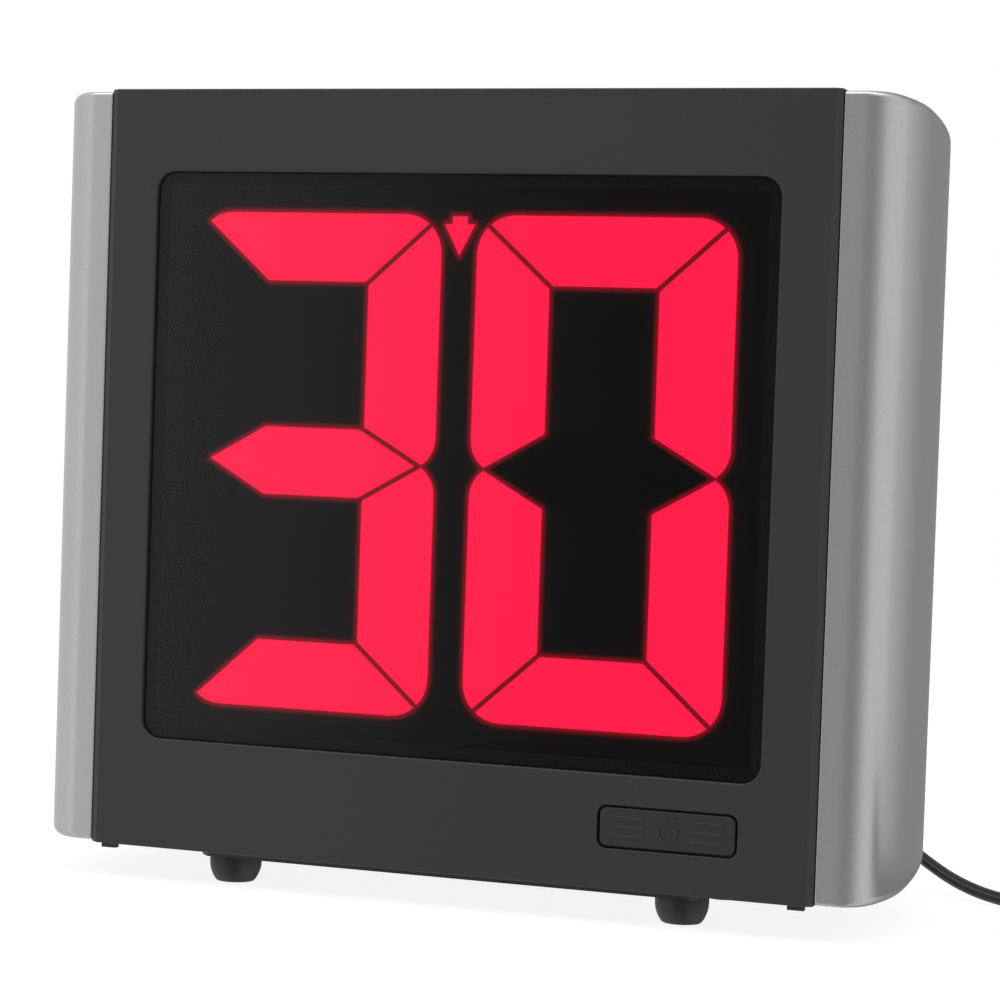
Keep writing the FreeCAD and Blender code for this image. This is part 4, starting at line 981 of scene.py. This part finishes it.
def studio():
    """A room that is seen in reflections and lights the object, and a plain backdrop for the camera."""
    strength = 1.2
    world = bpy.data.worlds.new("studio")
    bpy.context.scene.world = world
    world.use_nodes = True
    tree = world.node_tree
    tree.nodes.clear()
    out = tree.nodes.new("ShaderNodeOutputWorld")
    mix = tree.nodes.new("ShaderNodeMixShader")
    path = tree.nodes.new("ShaderNodeLightPath")
    coords = tree.nodes.new("ShaderNodeTexCoord")
    parts = tree.nodes.new("ShaderNodeSeparateXYZ")
    towards = tree.nodes.new("ShaderNodeMath")
    towards.operation = "MULTIPLY"
    towards.inputs[1].default_value = -1
    heading = tree.nodes.new("ShaderNodeMath")
    heading.operation = "ARCTAN2"
    spread = tree.nodes.new("ShaderNodeMapRange")
    spread.inputs["From Min"].default_value = -math.pi
    spread.inputs["From Max"].default_value = math.pi
    ramp = tree.nodes.new("ShaderNodeValToRGB")
    ramp.color_ramp.interpolation = "EASE"
    elements = ramp.color_ramp.elements
    while len(elements) < len(ROOM):
        elements.new(0.5)
    for element, (angle, level) in zip(elements, ROOM):
        element.position = (angle + 180) / 360
        share = level / strength
        element.color = (share, share, share, 1)
    room = tree.nodes.new("ShaderNodeBackground")
    room.inputs["Strength"].default_value = strength
    backdrop = tree.nodes.new("ShaderNodeBackground")
    backdrop.inputs["Color"].default_value = (1, 1, 1, 1)
    backdrop.inputs["Strength"].default_value = 1.0
    tree.links.new(coords.outputs["Generated"], parts.inputs["Vector"])
    tree.links.new(parts.outputs["Y"], towards.inputs[0])
    tree.links.new(parts.outputs["X"], heading.inputs[0])
    tree.links.new(towards.outputs["Value"], heading.inputs[1])
    tree.links.new(heading.outputs["Value"], spread.inputs["Value"])
    tree.links.new(spread.outputs["Result"], ramp.inputs["Fac"])
    tree.links.new(ramp.outputs["Color"], room.inputs["Color"])
    tree.links.new(path.outputs["Is Camera Ray"], mix.inputs["Fac"])
    tree.links.new(room.outputs["Background"], mix.inputs[1])
    tree.links.new(backdrop.outputs["Background"], mix.inputs[2])
    tree.links.new(mix.outputs["Shader"], out.inputs["Surface"])


def softbox(name, place, aim, width, height, power):
    light = bpy.data.lights.new(name, "AREA")
    light.shape = "RECTANGLE"
    light.size, light.size_y = width, height
    light.energy = power
    obj = bpy.data.objects.new(name, light)
    bpy.context.scene.collection.objects.link(obj)
    obj.location = place
    obj.rotation_euler = (Vector(aim) - Vector(place)).to_track_quat("-Z", "Y").to_euler()
    return obj


def floor():
    """A pale floor that fades into the backdrop well away from the object."""
    m = bpy.data.materials.new("pale floor")
    m.use_nodes = True
    tree = m.node_tree
    tree.nodes.clear()
    out = tree.nodes.new("ShaderNodeOutputMaterial")
    lit = tree.nodes.new("ShaderNodeAddShader")
    matt = tree.nodes.new("ShaderNodeBsdfDiffuse")
    matt.inputs["Color"].default_value = (0.16, 0.16, 0.16, 1)
    glow = tree.nodes.new("ShaderNodeEmission")
    glow.inputs["Color"].default_value = (1, 1, 1, 1)
    glow.inputs["Strength"].default_value = 0.88
    tree.links.new(matt.outputs["BSDF"], lit.inputs[0])
    tree.links.new(glow.outputs["Emission"], lit.inputs[1])
    coords = tree.nodes.new("ShaderNodeTexCoord")
    length = tree.nodes.new("ShaderNodeVectorMath")
    length.operation = "LENGTH"
    fade = tree.nodes.new("ShaderNodeMapRange")
    fade.inputs["From Min"].default_value = 0.5
    fade.inputs["From Max"].default_value = 1.4
    clear = tree.nodes.new("ShaderNodeBsdfTransparent")
    mix = tree.nodes.new("ShaderNodeMixShader")
    tree.links.new(coords.outputs["Object"], length.inputs[0])
    tree.links.new(length.outputs["Value"], fade.inputs["Value"])
    tree.links.new(fade.outputs["Result"], mix.inputs["Fac"])
    tree.links.new(lit.outputs["Shader"], mix.inputs[1])
    tree.links.new(clear.outputs["BSDF"], mix.inputs[2])
    tree.links.new(mix.outputs["Shader"], out.inputs["Surface"])
    reach = 2.0
    mesh = bpy.data.meshes.new("floor")
    corners = [(-reach, -reach, 0), (reach, -reach, 0), (reach, reach, 0), (-reach, reach, 0)]
    mesh.from_pydata(corners, [], [(0, 1, 2, 3)])
    mesh.materials.append(m)
    obj = bpy.data.objects.new("floor", mesh)
    bpy.context.scene.collection.objects.link(obj)
    obj.location.z = -0.0002  # just under the feet
    obj.visible_glossy = False


def camera():
    """Looks along a direction given by angles, turned by a small roll."""
    azimuth, elevation, roll = (math.radians(v) for v in (19.29592253, 2.06453915, 1.96215209))
    target = Vector((15.79418736, 0, 115.03192022)) + Vector((0, -39.1, 10.2))
    distance = 892.61572047
    level = math.cos(elevation)
    back = Vector((math.sin(azimuth) * level, -math.cos(azimuth) * level, math.sin(elevation)))
    right = (-back).cross(Vector((0, 0, 1))).normalized()
    up = right.cross(-back)
    across = right * math.cos(roll) + up * math.sin(roll)
    upward = up * math.cos(roll) - right * math.sin(roll)
    obj = bpy.data.objects.new("camera", bpy.data.cameras.new("camera"))
    bpy.context.scene.collection.objects.link(obj)
    obj.data.sensor_width = 36
    obj.data.lens = 106.2
    obj.data.clip_start = 0.01
    pose = Matrix((across, upward, back)).transposed().to_4x4()
    pose.translation = (target + back * distance) / 1000
    obj.matrix_world = pose
    bpy.context.scene.camera = obj


studio()
floor()
softbox("overhead", (-0.1, -0.7, 1.7), (0, 0, 0.13), 2.2, 1.6, 24)
camera()
